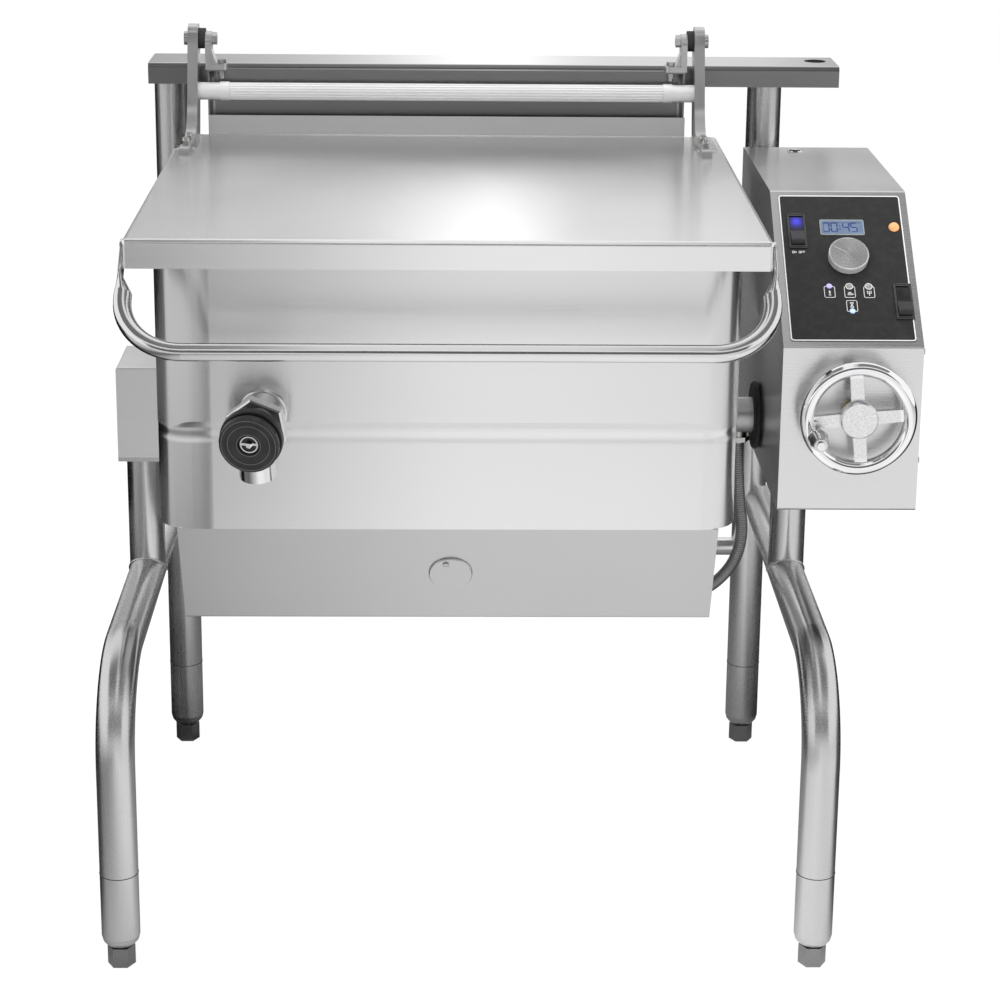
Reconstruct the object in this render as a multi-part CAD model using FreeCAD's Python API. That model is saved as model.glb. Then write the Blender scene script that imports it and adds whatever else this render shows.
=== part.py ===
import FreeCAD, Part
import math
import os

Vector = FreeCAD.Vector
os.makedirs("parts", exist_ok=True)

# Tilting skillet. Millimetres, +Z up, front towards -Y.
# Sizes below are measured from the middle between the side frames, the tilt axis plane and
# the floor line with the feet screwed right in. The feet are drawn screwed out by foot_out,
# and save() moves everything so the origin is the bottom centre of the whole machine.

# Frame tubing
tube_r = 25.4
tube_bore = 23.4
side_x = 459.0
rear_leg_x = 444.0
front_leg_y = -400.0
rear_leg_y = 330.0
rail_z = 400.0
rail_bend = 125.0
foot_seam_z = 125.0
tie_z = 320.0
tie_r = 14.0
tie_bore = 12.0

# Feet
foot_out = 7.0
foot_across = 32.0
foot_height = 27.0
foot_stem_r = 8.0
foot_stem_top = 92.0
bullet_bottom = 22.0
bullet_spigot_r = 23.4
bullet_top = 150.0

# Faucet shelf across the back
shelf_x0, shelf_x1 = -474.0, 550.0
shelf_y0, shelf_y1 = rear_leg_y - 40.0, rear_leg_y + 60.0
shelf_z0, shelf_z1 = 1056.0, 1087.0
shelf_sheet = 3.0
faucet_hole = (shelf_x1 - 29.0, shelf_y1 - 43.0)
faucet_hole_r = 16.25

# Tilt axis and the bearings on it
axis_z = 635.0
shaft_r = 25.4
running_fit = 0.05
bearing_width = 30.0
bearing_arch = 42.0
sheet = 2.0

# Left bearing housing, standing on the left middle post
hood_x0, hood_x1 = -side_x - 30.0, -side_x + 35.0
hood_y0, hood_y1 = -58.0, 62.0
hood_z0, hood_z1 = axis_z - 48.0, axis_z + 82.0
post_plate = 6.0
left_bearing_x = hood_x0 + 17.0

# Control console, standing on the right middle post
console_x0, console_x1 = side_x - 47.0, side_x + 137.0
console_front, console_rear = -230.0, 300.0
console_z0 = axis_z - 65.0
console_height = 395.0
console_z1 = console_z0 + console_height
slope_drop = 168.0
slope_back = 200.0
slope_foot_z = console_z1 - slope_drop
slope_head_y = console_front + slope_back
console_flange = 14.0
cover_sheet = 2.0
cover_x1 = console_x1 + cover_sheet
cover_screw_head = 2.0
right_bearing_x = console_x0 + 18.0

# Control panel, in millimetres across and down the sloped face
overlay_u = (10.0, 177.0)
overlay_v = (8.0, 252.0)
overlay_thick = 0.8
display_u = (64.5, 122.5)
display_v = (52.0, 75.5)
timer_at = (97.0, 116.5)
timer_r = 27.0
timer_height = 14.0
lamp_at = (164.5, 62.7)
led_places = ((68.0, 162.5), (95.0, 162.5), (121.0, 162.5), (95.9, 203.4))
power_at = (31.6, 70.5)
function_at = (166.0, 188.0)
rocker_throw = 18.0
rocker_pivot_depth = 6.0
rocker_end_r = 24.5
rocker_half_width = 9.2
switch_gap = 0.3
board_depth = 30.0

# Worm drive
wheel_teeth = 30
wheel_pitch_r = 56.6
worm_pitch_r = 17.0
lead = 2 * math.pi * wheel_pitch_r / wheel_teeth
drive_x = console_x0 + 98.0
worm_z = axis_z + wheel_pitch_r + worm_pitch_r
tooth_thick = 5.45
pressure_angle = math.radians(20)
worm_r = 10.0
worm_support_y = 80.0
worm_support_thick = 12.0
worm_support_half = 22.0

# Handwheel
wheel_y = console_front - 32.0
rim_r = 67.8
rim_tube = 9.7
hub_r = 25.0
spoke_lean = 5.0
crank_dx, crank_dz = -55.6, -21.3

# Cooking pan
pan_x0, pan_x1 = -394.0, 336.0
pan_y0, pan_y1 = -430.0, 232.0
pan_depth = 238.0
pan_z0 = axis_z + 107.0
pan_z1 = pan_z0 + pan_depth
pan_middle = (pan_x0 + pan_x1) / 2
pan_wall = 3.0
pan_floor = 8.0
pan_corner = 50.0
rim_width = 10.0
rim_height = 14.0

# Casing below the pan
casing_z0 = axis_z - 26.0
casing_y0 = pan_y0 + 8.0
casing_corner = 46.0

# Cast heaters clamped under the pan floor
heater_thick = 30.0
heater_half = 100.0
heater_pitch = 233.0
heater_y0, heater_y1 = pan_y0 + 60.0, pan_y1 - 52.0
rib_count = 9
rib_pitch = 60.0
rib_gap = 28.0
rib_depth = 10.0

# Heater box with the sloped fascia
fascia_x0, fascia_x1 = pan_x0 + 25.0, pan_x1 - 23.0
fascia_z0 = casing_z0 - 148.0
fascia_y0, fascia_y1, fascia_y2 = casing_y0 + 2.0, casing_y0 + 77.0, pan_y1 - 42.0
access_x, access_z = pan_middle + 4.0, fascia_z0 + 76.0
access_r = 28.0
access_pivot_up = 18.0
access_pivot_side = -6.0

# Riser on the rear wall of the pan and the lid hinge on it, symmetrical about hinge_x
riser_x0, riser_x1 = pan_x0 + 11.0, pan_x1 - 19.0
riser_y1 = pan_y1 + 37.0
riser_z0, riser_z1 = pan_z1 - 80.0, pan_z1 + 104.0
riser_sheet = 3.0
riser_return = 14.0
hinge_x = (riser_x0 + riser_x1) / 2
hinge_y, hinge_z = riser_y1 - 7.0, riser_z1 + 44.0
ear_in = 7.0
ear_thick = 9.0
bush_width = 10.0
bush_r = 15.0
arm_thick = 15.0
side_gap = 0.3
ear_inner = (riser_x1 - riser_x0) / 2 - ear_in
ear_outer = ear_inner + ear_thick
bush_outer = ear_outer + bush_width
arm_outer = bush_outer + arm_thick
arm_middle = (bush_outer + arm_outer) / 2
pin_r = 6.0
bracket_half = 16.0
bracket_foot = 8.0
bracket_bolt_r = 4.0
bracket_bolt_x = ear_inner - 14.0
bracket_bolt_y = hinge_y - 4.0

# Lid
lid_x0, lid_x1 = pan_x0 - 30.0, pan_x1 + 30.0
lid_y0, lid_y1 = pan_y0 - 24.0, pan_y1 + 18.0
lid_z1 = pan_z1 + 8.0
lid_skirt = 36.0
lid_edge = 6.0
upstand_height = 29.0
upstand_foot = 16.0
lid_clear = 2.0
bar_y, bar_z = hinge_y - 22.0, hinge_z - 74.0
bar_r = 12.7
arm_foot = 10.0
arm_bolt_r = 3.0
arm_bolt_places = (hinge_y - 144.0, hinge_y - 106.0)
arm_plate_y0, arm_plate_y1 = hinge_y - 128.0, hinge_y - 16.0

# Bail handle on the lid
bail_x = (lid_x0 + lid_x1) / 2
bail_half = (lid_x1 - lid_x0) / 2 - 3.0
bail_y, bail_z = lid_y0 - 81.0, lid_z1 - 118.0
bail_r = 11.1
bail_bend = 75.0
bail_rise = math.radians(40)

# Draw-off valve
valve_start = Vector(pan_x0 + 137.0, pan_y0, pan_z0 + 24.0)
valve_down = math.radians(11)
valve_left = math.radians(8)
port_r = 24.0
spout_length = 62.0
valve_seat = 30.0

# Overall extents, used for the origin
extent_left, extent_right = hood_x0, cover_x1 + cover_screw_head
extent_front, extent_rear = bail_y - bail_r, shelf_y1
origin_shift = Vector(-(extent_left + extent_right) / 2, -(extent_front + extent_rear) / 2,
                      foot_out)


# General helpers

def box(x0, x1, y0, y1, z0, z1):
    return Part.makeBox(x1 - x0, y1 - y0, z1 - z0, Vector(x0, y0, z0))


def fused(pieces):
    return pieces[0].multiFuse(list(pieces[1:])).removeSplitter()


def rod(start, end, radius):
    run = end - start
    return Part.makeCylinder(radius, run.Length, start, run)


def rod_x(x0, x1, y, z, radius):
    return rod(Vector(x0, y, z), Vector(x1, y, z), radius)


def rod_y(y0, y1, x, z, radius):
    return rod(Vector(x, y0, z), Vector(x, y1, z), radius)


def rod_z(z0, z1, x, y, radius):
    return rod(Vector(x, y, z0), Vector(x, y, z1), radius)


def unit(vector):
    return Vector(vector) / vector.Length


def rounded_wire(points, radii):
    """Closed outline through points with each corner rounded by its radius."""
    count = len(points)
    if not isinstance(radii, (list, tuple)):
        radii = [radii] * count
    corners = []
    for i in range(count):
        here = points[i]
        if radii[i] == 0:
            corners.append((here, None, here))
            continue
        back = unit(points[i - 1] - here)
        ahead = unit(points[(i + 1) % count] - here)
        half = back.getAngle(ahead) / 2
        centre = here + unit(back + ahead) * (radii[i] / math.sin(half))
        cut = radii[i] / math.tan(half)
        middle = centre + unit(here - centre) * radii[i]
        corners.append((here + back * cut, middle, here + ahead * cut))
    edges = []
    for i in range(count):
        start, middle, end = corners[i]
        following = corners[(i + 1) % count][0]
        if middle is not None:
            edges.append(Part.Arc(start, middle, end).toShape())
        if (following - end).Length > 0.001:
            edges.append(Part.makeLine(end, following))
    return Part.Wire(edges)


def plate_yz(points, radii, x0, x1):
    """Plate with an outline in the YZ plane, between x0 and x1."""
    outline = rounded_wire([Vector(x0, y, z) for y, z in points], radii)
    return Part.Face(outline).extrude(Vector(x1 - x0, 0, 0))


def plate_xz(points, radii, y0, y1):
    outline = rounded_wire([Vector(x, y0, z) for x, z in points], radii)
    return Part.Face(outline).extrude(Vector(0, y1 - y0, 0))


def plate_xy(points, radii, z0, z1):
    outline = rounded_wire([Vector(x, y, z0) for x, y in points], radii)
    return Part.Face(outline).extrude(Vector(0, 0, z1 - z0))


def rounded_box(x0, x1, y0, y1, z0, z1, radii):
    return plate_xy([(x0, y0), (x1, y0), (x1, y1), (x0, y1)], radii, z0, z1)


def bent_rod(points, bend, radius):
    """Round bar along straight runs joined by arcs of one bend radius."""
    pieces = []
    start = points[0]
    for i in range(1, len(points)):
        run = unit(points[i] - points[i - 1])
        if i == len(points) - 1:
            pieces.append(rod(start, points[i], radius))
            break
        turn = unit(points[i + 1] - points[i])
        angle = run.getAngle(turn)
        cut = bend * math.tan(angle / 2)
        end = points[i] - run * cut
        if (end - start).Length > 0.01:
            pieces.append(rod(start, end, radius))
        centre = end + unit(turn - run * run.dot(turn)) * bend
        disc = Part.Face(Part.Wire(Part.makeCircle(radius, end, run)))
        pieces.append(disc.revolve(centre, run.cross(turn), math.degrees(angle)))
        start = points[i] + turn * cut
    return fused(pieces)


def bent_tube(points, bend, radius, bore):
    return bent_rod(points, bend, radius).cut(bent_rod(points, bend, bore))


def revolved(profile, start, direction):
    """Solid of revolution; profile is (radius, distance) along direction from start."""
    points = [Vector(r, 0, t) for r, t in profile]
    face = Part.Face(Part.makePolygon(points + points[:1]))
    solid = face.revolve(Vector(0, 0, 0), Vector(0, 0, 1), 360)
    turn = FreeCAD.Rotation(Vector(0, 0, 1), direction)
    solid.Placement = FreeCAD.Placement(start, turn)
    return solid


def hexagon(start, direction, across, height):
    corner = across / math.sqrt(3)
    points = []
    for i in range(6):
        angle = math.radians(60 * i)
        points.append(Vector(corner * math.cos(angle), corner * math.sin(angle), 0))
    solid = Part.Face(Part.makePolygon(points + points[:1])).extrude(Vector(0, 0, height))
    turn = FreeCAD.Rotation(Vector(0, 0, 1), direction)
    solid.Placement = FreeCAD.Placement(start, turn)
    return solid


def mirrored(shape, x):
    return shape.mirror(Vector(x, 0, 0), Vector(1, 0, 0))


def save(name, *solids):
    shape = Part.makeCompound([s for solid in solids for s in solid.Solids])
    shape.translate(origin_shift)
    shape.exportStep("parts/" + name + ".step")


# Frame: two bent side tubes, rear legs, middle posts and a tie tube

def rear_leg(side, radius, top):
    return rod_z(foot_seam_z, top, side * rear_leg_x, rear_leg_y, radius)


def side_tube(side):
    x = side * side_x
    path = [
        Vector(x, front_leg_y, foot_seam_z),
        Vector(x, front_leg_y, rail_z),
        Vector(x, rear_leg_y, rail_z),
    ]
    end_cap = rod_y(rear_leg_y - sheet, rear_leg_y, x, rail_z, tube_r)
    tube = fused([bent_tube(path, rail_bend, tube_r, tube_bore), end_cap])
    return tube.cut(rear_leg(side, tube_r, shelf_z1))


def middle_post(side, top):
    x = side * side_x
    post = rod_z(rail_z, top, x, 0, tube_r).cut(rod_z(rail_z, top, x, 0, tube_bore))
    return post.cut(rod_y(-60, 60, x, rail_z, tube_r))


def bullet_foot(x, y):
    profile = [
        (0, bullet_bottom), (15, bullet_bottom), (20, bullet_bottom + 2.5),
        (23.6, bullet_bottom + 7), (tube_r, bullet_bottom + 14), (tube_r, foot_seam_z),
        (bullet_spigot_r, foot_seam_z), (bullet_spigot_r, bullet_top), (0, bullet_top),
    ]
    foot = revolved(profile, Vector(x, y, 0), Vector(0, 0, 1))
    return foot.cut(rod_z(-foot_out, foot_stem_top + 2, x, y, foot_stem_r + 0.3))


def levelling_foot(x, y):
    pad = hexagon(Vector(x, y, -foot_out), Vector(0, 0, 1), foot_across, foot_height)
    return fused([pad, rod_z(foot_height - foot_out - 1, foot_stem_top, x, y, foot_stem_r)])


foot_places = {
    "front_left": (-side_x, front_leg_y),
    "front_right": (side_x, front_leg_y),
    "rear_left": (-rear_leg_x, rear_leg_y),
    "rear_right": (rear_leg_x, rear_leg_y),
}
post_top = shelf_z1 - shelf_sheet
save("side_tube_left", side_tube(-1))
save("side_tube_right", side_tube(1))
save("rear_legs", *[
    rear_leg(side, tube_r, post_top).cut(rear_leg(side, tube_bore, post_top))
    for side in (-1, 1)
])
hood_seat = box(hood_x0, hood_x1, hood_y0, hood_y1, hood_z0 - post_plate, hood_z0)
save(
    "middle_posts",
    fused([middle_post(-1, hood_z0 - post_plate), hood_seat]),
    middle_post(1, console_z0),
)
tie = rod_x(-rear_leg_x, rear_leg_x, rear_leg_y, tie_z, tie_r)
tie = tie.cut(rod_x(-rear_leg_x, rear_leg_x, rear_leg_y, tie_z, tie_bore))
for leg_side in (-1, 1):
    tie = tie.cut(rear_leg(leg_side, tube_r, shelf_z0))
save("rear_tie_tube", tie)
save("bullet_feet", *[bullet_foot(x, y) for x, y in foot_places.values()])
for place, (foot_x, foot_y) in foot_places.items():
    save("levelling_foot_" + place, levelling_foot(foot_x, foot_y))


# Faucet shelf: folded channel over the rear legs with one faucet hole

def shelf_section(inset):
    y0, y1 = shelf_y0 + inset, shelf_y1 - inset
    z1 = shelf_z1 - inset
    corner = 7.0 - inset
    outline = [(y0, shelf_z0), (y0, z1), (y1, z1), (y1, shelf_z0)]
    return plate_yz(outline, [0, corner, corner, 0], shelf_x0 + inset * 0.8, shelf_x1 - inset)


shelf = shelf_section(0).cut(shelf_section(shelf_sheet))
shelf = shelf.cut(rod_z(shelf_z0, shelf_z1 + 1, faucet_hole[0], faucet_hole[1], faucet_hole_r))
save("faucet_shelf", shelf)


# Bearings on the tilt axis

def pillow_block(x0, base_z):
    x1 = x0 + bearing_width
    arch = plate_yz(
        [(-52, base_z), (-52, base_z + 12), (-34, base_z + 18), (-bearing_arch, axis_z),
         (-24, axis_z + 34), (0, axis_z + bearing_arch), (24, axis_z + 34),
         (bearing_arch, axis_z), (34, base_z + 18), (52, base_z + 12), (52, base_z)],
        [0, 3, 6, 10, 12, 18, 12, 10, 6, 3, 0], x0, x1,
    )
    return arch.cut(rod_x(x0 - 1, x1 + 1, 0, axis_z, shaft_r + running_fit))


save(
    "bearing_blocks",
    pillow_block(left_bearing_x, hood_z0),
    pillow_block(right_bearing_x, console_z0 + sheet),
)

hood = box(hood_x0, hood_x1, hood_y0, hood_y1, hood_z0, hood_z1)
hood = hood.makeFillet(4.0, [e for e in hood.Edges if e.CenterOfMass.z > hood_z1 - 1])
hood = hood.cut(box(hood_x0 + sheet, hood_x1 - sheet, hood_y0 + sheet, hood_y1 - sheet,
                    hood_z0, hood_z1 - sheet))
hood = hood.cut(rod_x(hood_x1 - 5, hood_x1 + 5, 0, axis_z, shaft_r + 1))
hood = hood.cut(box(hood_x1 - 5, hood_x1 + 5, -shaft_r - 1, shaft_r + 1, hood_z0, axis_z))
save("bearing_housing", hood)


# Console: folded shell open on its right side, closed by a screwed cover

slope_head = (slope_head_y, console_z1)
slope_run = Vector(0, slope_head_y - console_front, console_z1 - slope_foot_z)
slope_angle = math.degrees(math.atan2(slope_run.z, slope_run.y))
panel_place = FreeCAD.Placement(
    Vector(console_x0, slope_head_y, console_z1),
    FreeCAD.Rotation(Vector(1, 0, 0), slope_angle),
)


def console_section(inset, x0, x1):
    front, rear = console_front + inset, console_rear - inset
    low, high = console_z0 + inset, console_z1 - inset
    shift = inset * math.tan(math.radians(slope_angle / 2))
    foot = slope_foot_z - inset * math.tan(math.radians((90 - slope_angle) / 2))
    outline = [(front, low), (front, foot), (slope_head_y + shift, high), (rear, high),
               (rear, low)]
    corner = max(5.0 - inset, 1.5)
    return plate_yz(outline, corner, x0, x1)


def on_panel(shape):
    """Move a shape from panel axes: x across, y up the slope, z out of the panel."""
    placed = shape.copy()
    placed.Placement = panel_place.multiply(placed.Placement)
    return placed


def panel_box(u0, u1, v0, v1, w0, w1):
    return on_panel(box(u0, u1, -v1, -v0, w0, w1))


def panel_rod(at, radius, w0, w1):
    return on_panel(rod_z(w0, w1, at[0], -at[1], radius))


switch_places = (power_at, function_at)
switch_body_half = rocker_end_r + 1.8
switch_body_wide = rocker_half_width + 1.5
panel_cuts = [panel_rod(timer_at, 4.0, -10, 5), panel_rod(lamp_at, 6.0, -10, 5)]
for led in led_places:
    panel_cuts.append(panel_rod(led, 2.6, -10, 5))
panel_cuts.append(panel_box(display_u[0] + 2, display_u[1] - 2, display_v[0] + 2,
                            display_v[1] - 2, -10, 5))
for at in switch_places:
    panel_cuts.append(panel_box(at[0] - switch_body_wide - 0.2, at[0] + switch_body_wide + 0.2,
                                at[1] - switch_body_half, at[1] + switch_body_half, -10, 5))

flange_middle = console_flange / 2
flange_low, flange_high = console_z0 + flange_middle, console_z1 - flange_middle
flange_front, flange_rear = console_front + flange_middle, console_rear - flange_middle
cover_screw_places = [
    (console_front + 80, flange_low), (console_front + 310, flange_low),
    (flange_rear, flange_low), (flange_rear, console_z0 + 200), (flange_rear, flange_high),
    (console_rear - 200, flange_high), (slope_head_y + 10, flange_high - 6),
    (flange_front, slope_foot_z - 7), (flange_front, console_z0 + 70),
]
shell = console_section(0, console_x0, console_x1)
shell = shell.cut(console_section(sheet, console_x0 + sheet, console_x1 - sheet))
shell = shell.cut(console_section(console_flange, console_x1 - 5, console_x1 + 5))
shell = shell.cut(rod_x(console_x0 - 1, console_x0 + 5, 0, axis_z, shaft_r + 1.5))
shell = shell.cut(rod_y(console_front - 1, console_front + 5, drive_x, worm_z, 13.0))
for hole_y, hole_z in cover_screw_places:
    shell = shell.cut(rod_x(console_x1 - 5, console_x1 + 5, hole_y, hole_z, 2.1))
plug_x, plug_y = console_x0 + 73.0, console_rear - 35.0
shell = shell.cut(rod_z(console_z1 - 5, console_z1 + 5, plug_x, plug_y, 9.0))
for cutter in panel_cuts:
    shell = shell.cut(cutter)
save("console_shell", shell)

cover = console_section(0, console_x1, cover_x1)
screws = []
for hole_y, hole_z in cover_screw_places:
    cover = cover.cut(rod_x(console_x1 - 1, cover_x1 + 1, hole_y, hole_z, 2.1))
    shank = rod_x(console_x1 - 8, cover_x1, hole_y, hole_z, 2.0)
    screws.append(fused([shank, rod_x(cover_x1, extent_right, hole_y, hole_z, 4.0)]))
save("console_side_cover", cover)
save("cover_screws", *screws)

top_plug = revolved(
    [(0, -4), (8.8, -4), (8.8, 0), (11.5, 0), (11.0, 2.0), (8.5, 3.2), (0, 3.2)],
    Vector(plug_x, plug_y, console_z1), Vector(0, 0, 1),
)
save("top_plug", top_plug)


# Control panel pieces

overlay = on_panel(rounded_box(overlay_u[0], overlay_u[1], -overlay_v[1], -overlay_v[0],
                               0, overlay_thick, 4.0))
for cutter in panel_cuts:
    overlay = overlay.cut(cutter)
save("control_overlay", overlay)

window = fused([
    panel_box(display_u[0] + 2.2, display_u[1] - 2.2, display_v[0] + 2.2,
              display_v[1] - 2.2, -6, 1.4),
    panel_box(display_u[0], display_u[1], display_v[0], display_v[1], overlay_thick, 2.0),
])
window = window.cut(panel_box(display_u[0] + 3.5, display_u[1] - 3.5, display_v[0] + 3.5,
                              display_v[1] - 3.5, 1.2, 3))
save("display_window", window)


def lens(at, radius, dome):
    place = panel_place.multVec(Vector(at[0], -at[1], 0))
    out = panel_place.Rotation.multVec(Vector(0, 0, 1))
    profile = [
        (0, -8), (radius - 1.5, -8), (radius - 1.5, overlay_thick), (radius, overlay_thick),
        (radius, overlay_thick + 0.8), (radius * 0.8, overlay_thick + 0.8 + dome * 0.6),
        (radius * 0.45, overlay_thick + 0.8 + dome * 0.9), (0, overlay_thick + 0.8 + dome),
    ]
    return revolved(profile, place, out)


save("indicator_lamps", lens(lamp_at, 7.3, 4.5), *[lens(at, 3.9, 1.2) for at in led_places])


def switch_frame(at):
    flange = panel_box(at[0] - 12, at[0] + 12, at[1] - 29, at[1] + 29,
                       overlay_thick, overlay_thick + 2.0)
    body = panel_box(at[0] - switch_body_wide, at[0] + switch_body_wide,
                     at[1] - switch_body_half + 0.2, at[1] + switch_body_half - 0.2,
                     -23, overlay_thick + 1)
    cavity = panel_box(at[0] - rocker_half_width - switch_gap,
                       at[0] + rocker_half_width + switch_gap,
                       at[1] - rocker_end_r - 0.4, at[1] + rocker_end_r + 0.4, -21, 10)
    return fused([flange, body]).cut(cavity)


def rocker(at):
    """V-shaped rocker whose ends are arcs about its pivot; lower end proud at rest."""
    rise = 30 * math.tan(math.radians(rocker_throw))
    outline = [(-30, -10), (30, -10), (30, 2.4), (0, 2.4), (-30, 2.4 + rise)]
    body = plate_yz(outline, [0, 0, 0, 8, 0], at[0] - rocker_half_width,
                    at[0] + rocker_half_width)
    ends = rod_x(at[0] - 20, at[0] + 20, 0, -rocker_pivot_depth, rocker_end_r)
    body = body.common(ends)
    for groove in (17.5, 20.0, 22.5):
        height = 2.4 + groove * math.tan(math.radians(rocker_throw))
        body = body.cut(rod_x(at[0] - 7, at[0] + 7, -groove, height + 0.3, 0.7))
    body.translate(Vector(0, -at[1], 0))
    return on_panel(body)


save("switch_frames", *[switch_frame(at) for at in switch_places])
save("power_rocker", rocker(power_at))
save("function_rocker", rocker(function_at))

panel_out = panel_place.Rotation.multVec(Vector(0, 0, 1))
timer_base = panel_place.multVec(Vector(timer_at[0], -timer_at[1], 0))
timer_knob = revolved(
    [(0, -24), (3.0, -24), (3.0, overlay_thick + 0.8), (timer_r - 1, overlay_thick + 0.8),
     (timer_r, overlay_thick + 2), (timer_r, timer_height - 1), (timer_r - 1, timer_height),
     (timer_r - 1.6, timer_height), (timer_r - 2, timer_height - 0.4),
     (0, timer_height - 0.4)],
    timer_base, panel_out,
)
pointer = panel_box(timer_at[0] - 0.6, timer_at[0] + 0.6, timer_at[1] - timer_r + 4,
                    timer_at[1] - 2, timer_height - 0.9, timer_height + 1)
pointer.rotate(timer_base, panel_out, 58)
save("timer_knob", timer_knob.cut(pointer))

board_u = (overlay_u[0] + 5, overlay_u[1] - 5)
board_v = (overlay_v[0] + 14, overlay_v[1] - 14)
board_parts = [panel_box(board_u[0], board_u[1], board_v[0], board_v[1], -board_depth - 1.6,
                         -board_depth)]


def board_block(u, v, width, height, tall):
    """Component on the face of the board, from its upper left corner."""
    return panel_box(u, u + width, v, v + height, -board_depth - 1, -board_depth + tall)


for post_u in (board_u[0] + 7, board_u[1] - 7):
    for post_v in (board_v[0] + 8, board_v[1] - 8):
        board_parts.append(panel_rod((post_u, post_v), 3.0, -board_depth - 0.5, -sheet))
encoder = board_block(timer_at[0] - 7, timer_at[1] - 7, 14, 14, 11)
board_parts.append(encoder.cut(panel_rod(timer_at, 3.3, -26, 0)))
board_parts.append(board_block(display_u[0] + 1.5, display_v[0] + 2, 54, 20, 18))
board_parts.append(board_block(board_u[0] + 40, board_v[1] - 38, 20, 25, 16))
board_parts.append(board_block(board_u[0] + 65, board_v[1] - 26, 20, 20, 13))
board_solid = fused(board_parts)
for at in switch_places:
    board_solid = board_solid.cut(panel_box(at[0] - 13, at[0] + 13, at[1] - 29,
                                            at[1] + 29, -40, -24))
save("control_board", board_solid)


# Worm drive: worm, its supports and bushes, wheel on the right trunnion

def involute(angle):
    return math.tan(angle) - angle


def tooth_half_angle(radius):
    base_r = wheel_pitch_r * math.cos(pressure_angle)
    at_radius = math.acos(min(1.0, base_r / max(radius, base_r)))
    return (tooth_thick / (2 * wheel_pitch_r) + involute(pressure_angle)
            - involute(at_radius))


def wheel_section(x):
    """Tooth outline at x; it turns with x to follow the lead angle of the worm."""
    radii = (52.4, 55.0, 57.5, 59.6)
    twist = (x - drive_x) * lead / (2 * math.pi * worm_pitch_r * wheel_pitch_r)
    points = []
    for tooth in range(wheel_teeth):
        middle = twist + (tooth + 0.5) * 2 * math.pi / wheel_teeth
        flank = [(r, middle - tooth_half_angle(r)) for r in radii]
        flank += [(r, middle + tooth_half_angle(r)) for r in reversed(radii)]
        for r, angle in flank:
            points.append(Vector(x, -r * math.sin(angle), axis_z + r * math.cos(angle)))
    return Part.makePolygon(points + points[:1])


wheel_half = 8.0
rim = Part.makeLoft([wheel_section(drive_x - wheel_half), wheel_section(drive_x + wheel_half)],
                    True, True)
hub = rod_x(drive_x - 14, drive_x + 14, 0, axis_z, 36)
worm_wheel = rim.fuse(hub)
shoulder_r = 22.0
key_top = 25.4
worm_wheel = worm_wheel.cut(rod_x(drive_x - 20, drive_x + 20, 0, axis_z, shoulder_r + 0.05))
key_slot = box(drive_x - 20, drive_x + 20, -4, 4, axis_z + 15, axis_z + key_top + 0.1)
worm_wheel = worm_wheel.cut(key_slot)
save("worm_wheel", worm_wheel)

thread_root = 12.7
thread_tip = 20.2
thread_turns = 4.5
helix = Part.makeHelix(lead, thread_turns * lead, worm_pitch_r)
root_half = tooth_thick / 2 + (worm_pitch_r - 12.2) * math.tan(pressure_angle)
tip_half = tooth_thick / 2 - (thread_tip - worm_pitch_r) * math.tan(pressure_angle)
thread_profile = Part.makePolygon([
    Vector(12.2, 0, -root_half), Vector(thread_tip, 0, -tip_half),
    Vector(thread_tip, 0, tip_half), Vector(12.2, 0, root_half),
    Vector(12.2, 0, -root_half),
])
thread = Part.Wire(helix).makePipeShell([thread_profile], True, True)
thread = Part.Solid(thread) if thread.ShapeType == "Shell" else thread
thread.Placement = FreeCAD.Placement(
    Vector(drive_x, -thread_turns * lead / 2, worm_z),
    FreeCAD.Rotation(Vector(1, 0, 0), -90),
)
collar_in = worm_support_y - worm_support_thick / 2 - 0.3
hub_back = wheel_y + 16
worm_body = fused([
    rod_y(hub_back - 20, worm_support_y + 20, drive_x, worm_z, worm_r),
    rod_y(hub_back, hub_back + 8, drive_x, worm_z, 12.7),
    rod_y(-collar_in, -collar_in + 6, drive_x, worm_z, 14.0),
    rod_y(collar_in - 6, collar_in, drive_x, worm_z, 14.0),
    rod_y(-34, 34, drive_x, worm_z, thread_root),
])
save("worm_shaft", worm_body.fuse(thread))


def worm_support(side):
    x0, x1 = drive_x - worm_support_half, drive_x + worm_support_half
    near = side * worm_support_y - worm_support_thick / 2
    upright = plate_xz(
        [(x0, console_z0 + sheet), (x0, worm_z), (x0 + 8, worm_z + 22), (x1 - 8, worm_z + 22),
         (x1, worm_z), (x1, console_z0 + sheet)],
        [0, 12, 10, 10, 12, 0], near, near + worm_support_thick,
    )
    foot_y = near + (worm_support_thick - 1 if side > 0 else -29)
    foot = box(x0, x1, foot_y, foot_y + 30, console_z0 + sheet, console_z0 + sheet + 8)
    support = fused([upright, foot])
    return support.cut(rod_y(-200, 200, drive_x, worm_z, 14.0))


def ring_y(y0, y1, radius, bore):
    return rod_y(y0, y1, drive_x, worm_z, radius).cut(
        rod_y(y0 - 1, y1 + 1, drive_x, worm_z, bore))


save("worm_supports", worm_support(-1), worm_support(1))
half_support = worm_support_thick / 2
save(
    "shaft_bushes",
    ring_y(-worm_support_y - half_support, -worm_support_y + half_support, 14.0,
           worm_r + running_fit),
    ring_y(worm_support_y - half_support, worm_support_y + half_support, 14.0,
           worm_r + running_fit),
    fused([ring_y(console_front - 6, console_front, 18.0, worm_r + 0.3),
           ring_y(console_front - 1, console_front + 8, 12.9, worm_r + 0.3)]),
)


# Handwheel and its turning grip

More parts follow.
